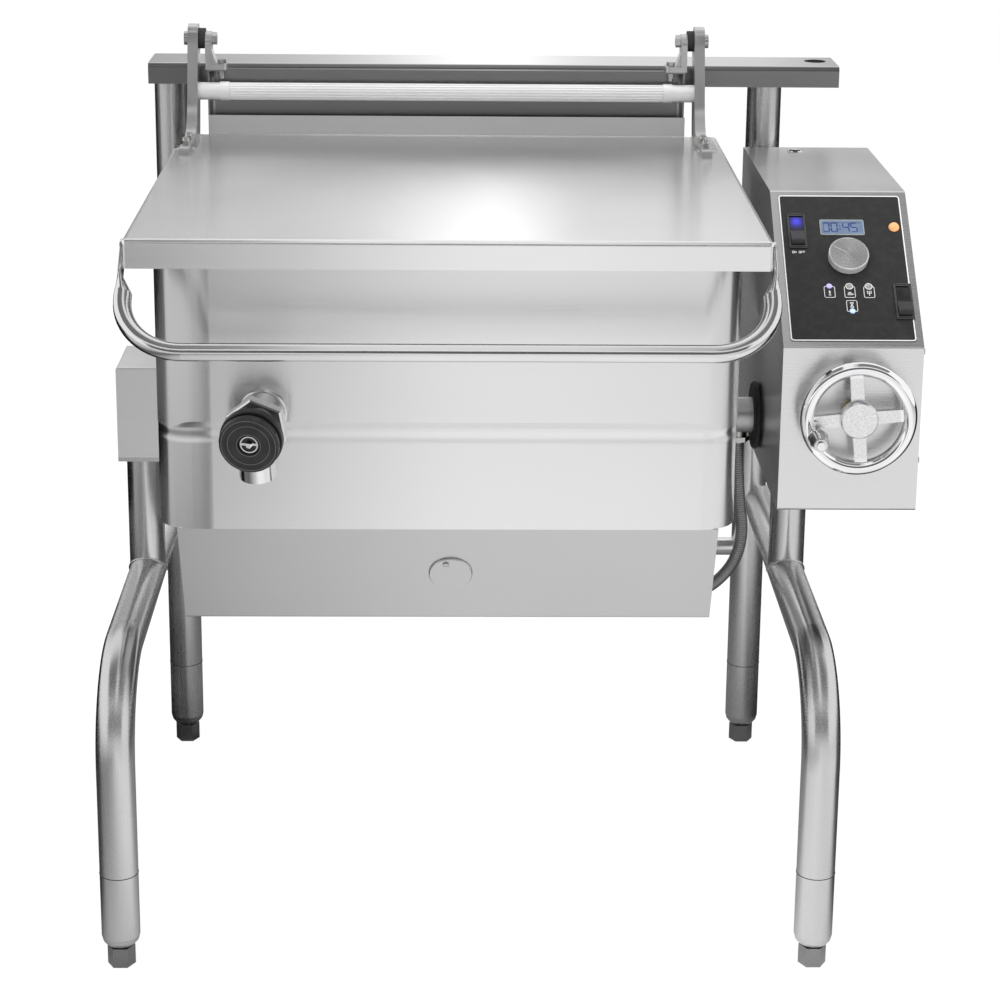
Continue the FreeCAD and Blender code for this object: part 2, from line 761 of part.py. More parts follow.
hub_front = wheel_y - 12
wheel_centre = Vector(drive_x, wheel_y, worm_z)
wheel_parts = [
    Part.makeTorus(rim_r, rim_tube, wheel_centre, Vector(0, 1, 0)),
    revolved([(0, 0), (hub_r - 2, 0), (hub_r, 2), (hub_r, 14), (16, 28), (0, 28)],
             Vector(drive_x, hub_front, worm_z), Vector(0, 1, 0)),
]
for quarter in range(4):
    spoke = plate_xz([(-9, 18), (9, 18), (8, rim_r - 2), (-8, rim_r - 2)], 0, -4, 5)
    spoke.rotate(Vector(0, 0, 0), Vector(0, 1, 0), 90 * quarter - spoke_lean)
    spoke.translate(wheel_centre)
    wheel_parts.append(spoke)
crank_x, crank_z = drive_x + crank_dx, worm_z + crank_dz
crank_face = wheel_y - 11
wheel_parts.append(rod_y(crank_face, wheel_y, crank_x, crank_z, 9.0))
wheel_parts.append(rod_y(crank_face - 44, crank_face, crank_x, crank_z, 4.0))
wheel_parts.append(rod_y(crank_face - 46, crank_face - 43, crank_x, crank_z, 5.5))
handwheel = fused(wheel_parts)
handwheel = handwheel.cut(rod_y(hub_back - 20.3, hub_back + 10, drive_x, worm_z,
                                worm_r + 0.03))
save("handwheel", handwheel)

grip = revolved(
    [(4.3, 0.4), (9.5, 0.4), (11.5, 3), (13.2, 9), (13.6, 16), (12.4, 25), (10.0, 33),
     (8.6, 38), (8.4, 42.4), (4.3, 42.4)],
    Vector(crank_x, crank_face, crank_z), Vector(0, -1, 0),
)
save("crank_grip", grip)


# Cooking pan

valve_out = Vector(
    -math.sin(valve_left) * math.cos(valve_down),
    -math.cos(valve_left) * math.cos(valve_down),
    -math.sin(valve_down),
)
valve_side = unit(valve_out.cross(Vector(0, 0, 1)))
valve_up = valve_side.cross(valve_out)


def along_valve(distance):
    return valve_start + valve_out * distance


def around_valve(profile):
    return revolved(profile, valve_start, valve_out)


pan = rounded_box(pan_x0, pan_x1, pan_y0, pan_y1, pan_z0, pan_z1, pan_corner)
flange = rounded_box(pan_x0 - rim_width, pan_x1 + rim_width, pan_y0 - rim_width, pan_y1 + rim_width,
                     pan_z1 - rim_height, pan_z1, pan_corner + rim_width)
flange_inside = rounded_box(pan_x0 - rim_width + pan_wall, pan_x1 + rim_width - pan_wall,
                            pan_y0 - rim_width + pan_wall, pan_y1 + rim_width - pan_wall,
                            pan_z1 - rim_height - 1, pan_z1 - pan_wall, pan_corner + rim_width - pan_wall)
pan = pan.fuse(flange.cut(flange_inside)).removeSplitter()
cavity = rounded_box(pan_x0 + pan_wall, pan_x1 - pan_wall, pan_y0 + pan_wall,
                     pan_y1 - pan_wall, pan_z0 + pan_floor, pan_z1 + 1,
                     pan_corner - pan_wall)
cavity_floor = [e for e in cavity.Edges if abs(e.BoundBox.ZMax - pan_z0 - pan_floor) < 0.01]
cavity = cavity.makeFillet(15.0, cavity_floor)
pan = pan.cut(cavity)
under_step = plate_yz([(pan_y0 - 1, pan_z0 - 1), (pan_y0 - 1, pan_z0 + 11.25), (casing_y0, pan_z0)],
                      0, pan_x0 - 1, pan_x1 + 1)
pan = pan.cut(under_step)
spigot = around_valve([(0, -12), (28, -12), (28, valve_seat), (0, valve_seat)])
spigot = spigot.cut(box(valve_start.x - 60, valve_start.x + 60, pan_y0 + 1, pan_y0 + 60,
                        valve_start.z - 60, valve_start.z + 60))
pan = pan.fuse(spigot).removeSplitter()
pan = pan.cut(rod(along_valve(-40), along_valve(valve_seat + 10), port_r))
save("cooking_pan", pan)

casing_radii = [casing_corner, casing_corner, pan_corner, pan_corner]
casing = rounded_box(pan_x0, pan_x1, casing_y0, pan_y1, casing_z0, pan_z0, casing_radii)
casing = casing.cut(rounded_box(pan_x0 + sheet, pan_x1 - sheet, casing_y0 + sheet,
                                pan_y1 - sheet, casing_z0 + sheet, pan_z0 + 1,
                                [radius - sheet for radius in casing_radii]))
casing = casing.cut(rounded_box(fascia_x0 + 9, fascia_x1 - 9, fascia_y0 + 15,
                                fascia_y2 - 9, casing_z0 - 1, casing_z0 + 5, 10))
slot_r = shaft_r + 0.3
for x0, x1 in ((pan_x0 - 1, pan_x0 + 60), (pan_x1 - 60, pan_x1 + 1)):
    casing = casing.cut(rod_x(x0, x1, 0, axis_z, slot_r))
    casing = casing.cut(box(x0, x1, -slot_r, slot_r, casing_z0 - 1, axis_z))
save("lower_casing", casing)


# Trunnions with their end plates, joined under the pan by a box channel

channel_z0 = casing_z0 + sheet + 1
channel_z1 = channel_z0 + 60.0
plate_top = pan_z0 - 36.0
plate_thick = 8.0
left_plate = box(pan_x0 + sheet, pan_x0 + sheet + plate_thick, -60, 60, channel_z0, plate_top)
right_plate = box(pan_x1 - sheet - plate_thick, pan_x1 - sheet, -60, 60, channel_z0, plate_top)
left_trunnion = fused([left_plate, rod_x(left_bearing_x - 8, pan_x0 + sheet, 0, axis_z, shaft_r)])
save("trunnion_left", left_trunnion)
shaft_step = drive_x - 14
right_trunnion = fused([
    right_plate,
    rod_x(pan_x1 - sheet, shaft_step, 0, axis_z, shaft_r),
    rod_x(shaft_step, drive_x + 30, 0, axis_z, shoulder_r),
    box(shaft_step, drive_x + 13, -3.95, 3.95, axis_z + 18, axis_z + key_top),
])
right_trunnion = right_trunnion.cut(rod_x(pan_x1 - 30, drive_x + 40, 0, axis_z, 13.0))
save("trunnion_right", right_trunnion)

channel_x0 = pan_x0 + sheet + plate_thick
channel_x1 = pan_x1 - sheet - plate_thick
channel = box(channel_x0, channel_x1, -50, 50, channel_z0, channel_z1)
channel = channel.cut(box(channel_x0 - 1, channel_x1 + 1, -46, 46, channel_z0 + 4, channel_z1 - 4))
save("cross_channel", channel)

seal_profile = [(shaft_r, 0), (46, 0), (48, 2), (48, 6), (46, 8), (shaft_r, 8)]
save("seal_disc", revolved(seal_profile, Vector(console_x0 - 10, 0, axis_z), Vector(1, 0, 0)))


# Heaters clamped under the pan floor, on a slab of insulation

slab_top = pan_z0 - heater_thick
slab = box(channel_x0 + 1, channel_x1 - 1, casing_y0 + 7, pan_y1 - 7, channel_z1, slab_top)
slab = slab.makeFillet(45.0, [e for e in slab.Edges
                              if abs(e.tangentAt(e.FirstParameter).z) > 0.99])
heaters = []
rib_places = [heater_y0 + 40 + rib_pitch * i for i in range(rib_count)]
land_middle = (rib_pitch + rib_gap) / 2
post_low = channel_z1 - 27
for middle_x in (pan_middle - heater_pitch, pan_middle, pan_middle + heater_pitch):
    block = rounded_box(middle_x - heater_half, middle_x + heater_half, heater_y0, heater_y1,
                        slab_top, pan_z0, 14)
    for rib_y in rib_places:
        block = block.cut(box(middle_x - heater_half + 20, middle_x + heater_half - 20,
                              rib_y, rib_y + rib_gap, slab_top - 1, slab_top + rib_depth))
    ends = [block]
    for post_y in (rib_places[0] + land_middle, rib_places[-2] + land_middle):
        slab = slab.cut(rod_z(channel_z1 - 1, slab_top + 1, middle_x, post_y, 9.0))
        ends.append(rod_z(post_low, slab_top + 3, middle_x, post_y, 6.0))
        ends.append(hexagon(Vector(middle_x, post_y, post_low), Vector(0, 0, -1), 14, 8))
    heaters.append(fused(ends))
save("insulation_slab", slab)
save("cast_heaters", *heaters)


# Heater box with the sloped fascia and its small swinging cover

fascia_outline = [(fascia_y0, casing_z0), (fascia_y1, fascia_z0), (fascia_y2, fascia_z0),
                  (fascia_y2, casing_z0)]
fascia_run = Vector(0, fascia_y1 - fascia_y0, fascia_z0 - casing_z0)
fascia_out = unit(Vector(0, fascia_run.z, -fascia_run.y))
fascia_up = unit(-fascia_run)
heater_box = plate_yz(fascia_outline, [0, 5, 5, 0], fascia_x0, fascia_x1)
lean = sheet * math.sqrt(1 + (fascia_run.y / fascia_run.z) ** 2)
tilt = fascia_run.y / -fascia_run.z
inner_outline = [
    (fascia_y0 + lean - tilt, casing_z0 + 1), (fascia_y1 + lean - tilt * sheet, fascia_z0 + sheet),
    (fascia_y2 - sheet, fascia_z0 + sheet), (fascia_y2 - sheet, casing_z0 + 1),
]
heater_box = heater_box.cut(plate_yz(inner_outline, [0, 3, 3, 0], fascia_x0 + sheet,
                                     fascia_x1 - sheet))
access_y = fascia_y0 + (casing_z0 - access_z) * fascia_run.y / -fascia_run.z
access_centre = Vector(access_x, access_y, access_z)
access_pivot = access_centre + fascia_up * access_pivot_up + Vector(access_pivot_side, 0, 0)
heater_box = heater_box.cut(rod(access_centre - fascia_out * 10 - fascia_up * 6,
                                access_centre + fascia_out * 10 - fascia_up * 6, 15.0))
heater_box = heater_box.cut(rod(access_pivot - fascia_out * 5, access_pivot + fascia_out * 5, 2.0))
gland_at = Vector(fascia_x1 - 27, 60, fascia_z0)
heater_box = heater_box.cut(rod(gland_at - Vector(0, 0, 9), gland_at + Vector(0, 0, 9), 10.0))
save("heater_box", heater_box)

access_cover = revolved([(0, 0.3), (access_r, 0.3), (access_r, 1.8), (access_r - 1.2, 3.0), (0, 3.0)],
                        access_centre, fascia_out)
access_cover = access_cover.cut(rod(access_pivot - fascia_out * 5,
                                    access_pivot + fascia_out * 5, 2.3))
save("access_cover", access_cover)
access_screw = fused([
    rod(access_pivot - fascia_out * 6, access_pivot + fascia_out * 3.4, 2.0),
    rod(access_pivot + fascia_out * 3.3, access_pivot + fascia_out * 5.3, 4.0),
])
slot = box(-5, 5, -0.5, 0.5, 0, 2)
slot.Placement = FreeCAD.Placement(access_pivot + fascia_out * 4.4,
                                   FreeCAD.Rotation(Vector(0, 0, 1), fascia_out))
save("access_screw", access_screw.cut(slot))


# Flexible heater lead: out through the bottom of the heater box, round its side
# and up to the hollow right trunnion

lead_r = 9.0
lead_end_x = pan_x1 + 48.0
lead_low_z = 352.0
gland_reach = 14.0
lead_path = [
    gland_at - Vector(0, 0, gland_reach), Vector(gland_at.x, gland_at.y, lead_low_z),
    Vector(345, 25, lead_low_z), Vector(400, 0, 430),
    Vector(lead_end_x, 0, 540), Vector(lead_end_x, 0, 596),
]
save("heater_conduit", bent_rod(lead_path, 40, lead_r))
box_gland = fused([
    rod(gland_at, gland_at - Vector(0, 0, gland_reach), 12.0),
    rod(gland_at + Vector(0, 0, 12), gland_at - Vector(0, 0, 1), 9.8),
    hexagon(gland_at, Vector(0, 0, -1), 28, 6),
])
trunnion_gland = fused([
    rod_z(596, axis_z - 8, lead_end_x, 0, 12.0),
    hexagon(Vector(lead_end_x, 0, 598), Vector(0, 0, 1), 28, 7),
])
trunnion_gland = trunnion_gland.cut(rod_x(300, 500, 0, axis_z, shaft_r))
save("conduit_glands", box_gland, trunnion_gland)


# Riser behind the pan, carrying the lid hinge

riser_radii = [0, 0, 14, 14]
riser = rounded_box(riser_x0, riser_x1, pan_y1, riser_y1, riser_z0, riser_z1, riser_radii)
riser = riser.cut(rounded_box(riser_x0 + riser_sheet, riser_x1 - riser_sheet, pan_y1 - 1,
                              riser_y1 - riser_sheet, riser_z0 + riser_sheet,
                              riser_z1 - riser_sheet,
                              [max(radius - riser_sheet, 0) for radius in riser_radii]))
riser = riser.cut(box(riser_x0 - 1, riser_x1 + 1, pan_y1 - 1, riser_y1 - riser_return,
                      pan_z1 - 22, riser_z1 - 10))
riser = riser.cut(box(riser_x0 - 1, riser_x1 + 1, pan_y1 - 1, lid_y1 + lid_clear,
                      riser_z1 - 11, riser_z1 + 1))
for side in (-1, 1):
    riser = riser.cut(rod_z(riser_z1 - riser_sheet - 2, riser_z1 + 1,
                            hinge_x + side * bracket_bolt_x, bracket_bolt_y,
                            bracket_bolt_r + 0.2))
save("rear_riser", riser)


def hinge_bracket():
    """Right-hand bracket: cast ear on a foot flange, flared towards the middle."""
    x0, x1 = hinge_x + ear_inner, hinge_x + ear_outer
    y0, y1 = hinge_y - bracket_half, hinge_y + bracket_half
    foot_top = riser_z1 + bracket_foot
    foot = rounded_box(x0 - 22, x1, y0, y1, riser_z1, foot_top, 5)
    ear = plate_yz([(y0, riser_z1), (y0 - 1, hinge_z), (hinge_y, hinge_z + 17.5),
                    (y1 + 1, hinge_z), (y1, riser_z1)], [0, 12, 16, 12, 0], x0, x1)
    flare = plate_xz([(x0 - 7, foot_top - 1), (x0 + 1, foot_top - 1), (x0 + 1, hinge_z - 14)], 0,
                     y0 + 4, y1 - 4)
    bracket = fused([foot, ear, flare])
    bracket = bracket.cut(rod_x(x0 - 5, x1 + 5, hinge_y, hinge_z, pin_r))
    return bracket.cut(rod_z(riser_z1 - 1, foot_top + 1, hinge_x + bracket_bolt_x,
                             bracket_bolt_y, bracket_bolt_r + 0.2))


def hinge_pin():
    x0 = hinge_x + ear_inner - 8
    head = hinge_x + arm_outer + side_gap
    return fused([
        rod_x(x0, head + 1, hinge_y, hinge_z, pin_r),
        rod_x(head, head + 6, hinge_y, hinge_z, 10.0),
        hexagon(Vector(hinge_x + ear_inner, hinge_y, hinge_z), Vector(-1, 0, 0), 16, 7.5),
    ])


def bracket_bolt():
    x, y = hinge_x + bracket_bolt_x, bracket_bolt_y
    head = riser_z1 + bracket_foot
    return fused([
        rod_z(riser_z1 - riser_sheet - 11, head + 1, x, y, bracket_bolt_r),
        hexagon(Vector(x, y, head), Vector(0, 0, 1), 11, 6),
        hexagon(Vector(x, y, riser_z1 - riser_sheet), Vector(0, 0, -1), 11, 6.5),
    ])


def hinge_bush():
    x0, x1 = hinge_x + ear_outer, hinge_x + bush_outer - side_gap
    return rod_x(x0, x1, hinge_y, hinge_z, bush_r).cut(
        rod_x(x0 - 1, x1 + 1, hinge_y, hinge_z, pin_r))


for piece_name, piece in (
    ("hinge_brackets", hinge_bracket()), ("hinge_pins", hinge_pin()),
    ("bracket_bolts", bracket_bolt()), ("hinge_bushes", hinge_bush()),
):
    save(piece_name, mirrored(piece, hinge_x), piece)


# Lid with its arms, spreader bar and bail handle

lid_low = lid_z1 - lid_skirt


def lid_block(inset, low, rear):
    block = box(lid_x0 + inset, lid_x1 - inset, lid_y0 + inset, rear, low, lid_z1 - inset)
    chosen = []
    for edge in block.Edges:
        middle = edge.CenterOfMass
        top_edge = middle.z > lid_z1 - inset - 1 and middle.y < rear - 1
        front_corner = middle.y < lid_y0 + inset + 1 and low + 1 < middle.z < lid_z1 - 4
        if top_edge or front_corner:
            chosen.append(edge)
    return block.makeFillet(lid_edge - inset, chosen)


lid = lid_block(0, lid_low, lid_y1)
lid = lid.cut(lid_block(sheet, lid_low - 1, lid_y1 + 5))
upstand = plate_yz(
    [(lid_y1 - upstand_foot, lid_z1 - sheet), (lid_y1, lid_z1 - sheet),
     (lid_y1, lid_z1 + upstand_height), (lid_y1 - sheet, lid_z1 + upstand_height),
     (lid_y1 - sheet, lid_z1), (lid_y1 - upstand_foot, lid_z1)],
    [0, 3.5, 0, 0, 1.5, 0], riser_x0 + 1, riser_x1 + 1,
)
lid = fused([lid, upstand])
doubler_z = lid_z1 + sheet
for side in (-1, 1):
    for nut_y in arm_bolt_places:
        lid = lid.cut(rod_z(lid_z1 - 5, lid_z1 + 5, hinge_x + side * arm_middle, nut_y,
                            arm_bolt_r + 0.2))
save("lid_panel", lid)


def lid_arm():
    """Right-hand cast arm: foot on the lid, upright with a round eye at the pivot."""
    foot_top = lid_z1 + arm_foot
    outline = [
        (hinge_y - 172, lid_z1), (hinge_y - 172, foot_top), (hinge_y - 76, foot_top),
        (hinge_y - 50, lid_z1 + 34), (hinge_y - 19, hinge_z - 4), (hinge_y - 14, hinge_z + 21),
        (hinge_y + 14, hinge_z + 21), (hinge_y + 19, hinge_z - 10), (hinge_y - 4, lid_z1 + 30),
        (hinge_y - 12, lid_z1),
    ]
    radii = [0, 4, 34, 60, 8, 15, 15, 14, 30, 3]
    x0, x1 = hinge_x + bush_outer, hinge_x + arm_outer
    arm = plate_yz(outline, radii, x0, x1)
    arm = arm.cut(box(x0 - 1, x1 + 1, arm_plate_y0 - side_gap, hinge_y, lid_z1 - 1, doubler_z))
    arm = arm.cut(rod_x(x0 - 1, x1 + 1, hinge_y, hinge_z, pin_r + 0.08))
    for nut_y in arm_bolt_places:
        arm = arm.cut(rod_z(lid_z1 - 1, foot_top + 2, hinge_x + arm_middle, nut_y,
                            arm_bolt_r + 0.2))
    return arm


def arm_plate():
    plate = rounded_box(hinge_x + bush_outer - 4, hinge_x + arm_outer + 12, arm_plate_y0,
                        arm_plate_y1, lid_z1, doubler_z, 12)
    for nut_y in arm_bolt_places:
        plate = plate.cut(rod_z(lid_z1 - 1, doubler_z + 1, hinge_x + arm_middle, nut_y,
                                arm_bolt_r + 0.2))
    return plate


def cap_nut(y):
    x = hinge_x + arm_middle
    seat = lid_z1 + arm_foot
    dome = revolved([(0, 0), (5.6, 0), (5.2, 3), (3.6, 5.2), (0, 6.2)],
                    Vector(x, y, seat + 5), Vector(0, 0, 1))
    return fused([
        hexagon(Vector(x, y, seat), Vector(0, 0, 1), 13, 5.5), dome,
        rod_z(lid_z1 - 6, seat + 1, x, y, arm_bolt_r),
        rod_z(lid_z1 - 5.5, lid_z1 - sheet, x, y, 6.5),
    ])


arm = lid_arm()
bar = rod_x(hinge_x - bush_outer, hinge_x + bush_outer, bar_y, bar_z, bar_r)
flute_end = bush_outer - 32
for flute in range(18):
    angle = math.radians(20 * flute)
    bar = bar.cut(rod_x(hinge_x - flute_end, hinge_x + flute_end,
                        bar_y + (bar_r + 0.5) * math.cos(angle),
                        bar_z + (bar_r + 0.5) * math.sin(angle), 1.7))
collars = [rod_x(x, x + 13, bar_y, bar_z, 14.0)
           for x in (hinge_x - flute_end, hinge_x + flute_end - 13)]
save("lid_arm_left", mirrored(arm, hinge_x))
save("lid_arm_right", arm)
save("spreader_bar", fused([bar] + collars))
save("arm_plates", mirrored(arm_plate(), hinge_x), arm_plate())
nuts = [cap_nut(y) for y in arm_bolt_places]
save("arm_cap_nuts", *[mirrored(nut, hinge_x) for nut in nuts], *nuts)


def bail_point(x, along):
    return Vector(x, bail_y + along * math.cos(bail_rise), bail_z + along * math.sin(bail_rise))


def bail_end(side):
    """Round tube pressed flat into a strap that lies on the side skirt."""
    x = bail_x + side * bail_half
    run = unit(bail_point(0, 1) - bail_point(0, 0))
    across = run.cross(Vector(1, 0, 0))
    strap_x = (lid_x0 - 2.5) if side < 0 else (lid_x1 + 2.5)
    round_end = Part.Wire(Part.makeCircle(bail_r, bail_point(x, 84), run))
    middle = bail_point(strap_x, 112)
    corners = [middle + Vector(dx, 0, 0) + across * w
               for dx, w in ((-2.5, -13), (2.5, -13), (2.5, 13), (-2.5, 13))]
    flat = rounded_wire(corners, 2.3)
    blend = Part.makeLoft([round_end, flat], True, False)
    strap = Part.Face(flat).extrude(run * 40)
    tip = rod(Vector(strap_x - 2.5, middle.y, middle.z) + run * 40,
              Vector(strap_x + 2.5, middle.y, middle.z) + run * 40, 13.0)
    return [blend, strap, tip]


bail_path = [
    bail_point(bail_x - bail_half, 84), bail_point(bail_x - bail_half, 0),
    bail_point(bail_x + bail_half, 0), bail_point(bail_x + bail_half, 84),
]
save("lid_handle", fused([bent_rod(bail_path, bail_bend, bail_r)] + bail_end(-1) + bail_end(1)))


# Draw-off valve on the pan front

chamber_end = valve_seat + 40
body = around_valve([
    (0, valve_seat), (31, valve_seat), (31, valve_seat + 6), (29, valve_seat + 7),
    (35, chamber_end - 8), (39, chamber_end - 2), (39, chamber_end + 6),
    (37.5, chamber_end + 7), (0, chamber_end + 7),
])
spout_axis = along_valve(valve_seat + 22.5)


def spout_rod(start, end, radius):
    return rod(spout_axis - valve_up * start, spout_axis - valve_up * end, radius)


body = fused([body, spout_rod(14, spout_length, 22.3)])
body = body.cut(around_valve([(0, valve_seat + 4), (27, valve_seat + 4), (27, chamber_end),
                              (0, chamber_end)]))
body = body.cut(around_valve([(0, valve_seat - 1), (17, valve_seat - 1),
                              (17, valve_seat + 5), (0, valve_seat + 5)]))
body = body.cut(spout_rod(16, spout_length + 1, 16.5))
body = body.cut(spout_rod(spout_length - 22, spout_length + 1, 21.0))
body = body.cut(around_valve([(0, chamber_end - 1), (6.08, chamber_end - 1),
                              (6.08, chamber_end + 8), (0, chamber_end + 8)]))
save("valve_body", body)

plug_front = valve_seat + 4.3
plug = around_valve([
    (0, plug_front), (21, plug_front), (22, plug_front + 2), (22, plug_front + 7),
    (11, plug_front + 9), (11, plug_front + 23.5), (6.3, plug_front + 23.5),
    (6.3, plug_front + 3), (0, plug_front + 3),
])
save("valve_plug", plug)

knob_back = chamber_end + 8
knob = around_valve([
    (6, knob_back), (33, knob_back), (36, knob_back + 2), (37, knob_back + 5),
    (37, knob_back + 12), (35.5, knob_back + 14), (32, knob_back + 14),
    (31, knob_back + 13), (14, knob_back + 13), (13, knob_back + 9), (6, knob_back + 9),
])
for scallop in range(12):
    angle = math.radians(30 * scallop)
    out = (valve_side * math.cos(angle) + valve_up * math.sin(angle)) * 39.2
    knob = knob.cut(rod(along_valve(knob_back + 2) + out, along_valve(knob_back + 16) + out, 3.0))
save("valve_knob", knob)
stem = around_valve([
    (0, plug_front + 15.5), (6, plug_front + 15.5), (6, knob_back + 9), (11.5, knob_back + 9),
    (11.5, knob_back + 10.6), (8.8, knob_back + 10.6), (8.8, knob_back + 9.9),
    (4.2, knob_back + 9.9), (4.2, knob_back + 13.2), (2.8, knob_back + 14), (0, knob_back + 14),
])
save("valve_stem", stem)
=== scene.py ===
import bpy
import math
import numpy as np
from mathutils import Matrix, Vector


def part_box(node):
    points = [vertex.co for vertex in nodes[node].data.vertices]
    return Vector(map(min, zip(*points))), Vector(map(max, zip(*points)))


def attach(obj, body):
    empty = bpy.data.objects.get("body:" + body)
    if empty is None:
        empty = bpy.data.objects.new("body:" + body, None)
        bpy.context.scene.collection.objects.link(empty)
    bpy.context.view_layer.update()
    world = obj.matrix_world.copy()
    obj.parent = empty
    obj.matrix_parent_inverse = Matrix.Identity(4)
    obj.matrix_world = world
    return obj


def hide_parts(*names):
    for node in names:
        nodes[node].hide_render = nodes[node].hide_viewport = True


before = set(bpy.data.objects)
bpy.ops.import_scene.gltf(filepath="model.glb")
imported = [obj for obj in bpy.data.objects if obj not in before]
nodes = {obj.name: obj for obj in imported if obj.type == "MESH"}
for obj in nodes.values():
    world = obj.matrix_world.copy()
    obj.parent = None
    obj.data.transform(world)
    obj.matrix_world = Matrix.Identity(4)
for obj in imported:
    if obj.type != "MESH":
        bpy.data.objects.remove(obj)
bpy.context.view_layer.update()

scene = bpy.context.scene
mm = 0.001


# Camera: where the photographer stood, fitted to the legs, rails and lid edges

photoCamera = {
    "place": (-0.0847, -3.3634, 1.6709),  # metres
    "pitch": 15.425,                      # degrees down
    "yaw": 1.216,                         # degrees to the right
    "roll": -0.547,
    "focal": 2.535,                       # in widths of the picture
    "sensor": 36.0,
    "rise": -0.14,                        # vertical shift, in widths of the picture
}


def cameraAxes(pitch, yaw, roll):
    # forward from pitch and yaw, right level with the floor, then both turned by the roll
    forward = np.array([math.sin(yaw) * math.cos(pitch), math.cos(yaw) * math.cos(pitch),
                        -math.sin(pitch)])
    right = np.array([math.cos(yaw), -math.sin(yaw), 0.0])
    up = np.cross(right, forward)
    c, s = math.cos(roll), math.sin(roll)
    return c * right - s * up, s * right + c * up, forward


def makeCamera(view):
    data = bpy.data.cameras.new("photoCamera")
    data.sensor_width = view["sensor"]
    data.lens = view["focal"] * view["sensor"]
    data.shift_y = view["rise"]
    data.clip_end = 60
    right, up, forward = cameraAxes(*[math.radians(view[k]) for k in ("pitch", "yaw", "roll")])
    turn = Matrix([[right[i], up[i], -forward[i]] for i in range(3)]).to_4x4()
    camera = bpy.data.objects.new("photoCamera", data)
    camera.matrix_world = Matrix.Translation(view["place"]) @ turn
    scene.collection.objects.link(camera)
    scene.camera = camera


makeCamera(photoCamera)
print("camera ready")


# Node helpers for materials

def grey(level):
    return (level, level, level)


def shade(colour, factor):
    return tuple(min(1.0, c * factor) for c in colour)


class ShaderTree:
    # the node tree of a material or world, with short calls for the nodes used here
    def __init__(self, owner):
        owner.use_nodes = True
        self.tree = owner.node_tree

    def join(self, value, socket):
        # an output is linked, anything else becomes the socket's own value
        if isinstance(value, bpy.types.NodeSocket):
            self.tree.links.new(value, socket)
        else:
            socket.default_value = value

    def node(self, kind, inputs=(), **options):
        made = self.tree.nodes.new(kind)
        for key, value in options.items():
            setattr(made, key, value)
        for key, value in dict(inputs).items():
            self.join(value, made.inputs[key])
        return made

    def maths(self, operation, first, second=0.0):
        return self.node("ShaderNodeMath", {0: first, 1: second}, operation=operation).outputs[0]

    def plus(self, first, second):
        return self.maths("ADD", first, second)

    def minus(self, first, second):
        return self.maths("SUBTRACT", first, second)

    def times(self, first, second):
        return self.maths("MULTIPLY", first, second)

    def larger(self, first, second):
        return self.maths("MAXIMUM", first, second)

    def above(self, value, limit):
        return self.maths("GREATER_THAN", value, limit)

    def below(self, value, limit):
        return self.maths("LESS_THAN", value, limit)

    def vector(self, operation, first, second=(0, 0, 0)):
        made = self.node("ShaderNodeVectorMath", {0: first, 1: second}, operation=operation)
        isNumber = operation in ("LENGTH", "DISTANCE", "DOT_PRODUCT")
        return made.outputs["Value" if isNumber else "Vector"]

    def spread(self, value, low, high, fromLow=0.3, fromHigh=0.7):
        made = self.node("ShaderNodeMapRange", {"Value": value, "From Min": fromLow,
                                                "From Max": fromHigh, "To Min": low,
                                                "To Max": high})
        return made.outputs["Result"]


class Shades(ShaderTree):
    # a new material and its main shader
    def __init__(self, name):
        self.material = bpy.data.materials.new(name)
        super().__init__(self.material)
        self.shader = self.tree.nodes["Principled BSDF"]
        self.place = self.tree.nodes.new("ShaderNodeTexCoord").outputs["Object"]

    def put(self, **values):
        for key, value in values.items():
            self.join(value, self.shader.inputs[key.replace("_", " ")])

    def stretched(self, scale):
        return self.node("ShaderNodeMapping", {"Vector": self.place, "Scale": scale}).outputs[0]

    def noise(self, where, scale=1.0, detail=3.0, rough=0.5):
        made = self.node("ShaderNodeTexNoise", {"Vector": where, "Scale": scale,
                                                "Detail": detail, "Roughness": rough})
        return made.outputs["Fac"]

    def ramp(self, value, stops):
        made = self.node("ShaderNodeValToRGB", {"Fac": value})
        line = made.color_ramp.elements
        while len(line) < len(stops):
            line.new(0.5)
        for element, (at, colour) in zip(line, stops):
            element.position = at
            element.color = (*colour, 1.0)
        return made.outputs["Color"]

    def stops(self, value, table):
        # tone of a number through (value, tone) steps, straight between them
        low, high = table[0][0], table[-1][0]
        part = self.spread(value, 0.0, 1.0, low, high)
        top = max(tone for at, tone in table)
        return self.times(self.ramp(part, [((at - low) / (high - low), grey(tone / top))
                                           for at, tone in table]), top)

    def mix(self, factor, first, second, blend="MIX"):
        made = self.node("ShaderNodeMix", {0: factor}, data_type="RGBA", blend_type=blend)
        for colour, socket in ((first, made.inputs[6]), (second, made.inputs[7])):
            self.join((*colour, 1.0) if isinstance(colour, tuple) else colour, socket)
        return made.outputs[2]

    def tint(self, factor, colour, dark, light=1.0):
        # the colour from its dark shade at 0 to its light one at 1
        return self.mix(factor, shade(colour, dark), shade(colour, light))

    def bump(self, height, strength, depth, form=None):
        # form is a second height, in metres, under the fine one
        made = self.node("ShaderNodeBump", {"Height": height, "Strength": strength,
                                            "Distance": depth})
        if form is not None:
            under = self.node("ShaderNodeBump", {"Height": form, "Strength": 1.0,
                                                 "Distance": 1.0})
            self.join(under.outputs["Normal"], made.inputs["Normal"])
        self.put(Normal=made.outputs["Normal"])

    def brushedRoundX(self, share):
        # highlights drawn out round the X axis, across brushing that runs along it
        roundX = self.node("ShaderNodeTangent", direction_type="RADIAL", axis="X")
        self.put(Anisotropic=share, Tangent=roundX.outputs[0])

    def axis(self, which, place=None):
        return self.node("ShaderNodeSeparateXYZ", {"Vector": place or self.place}).outputs[which]


# Metal finishes

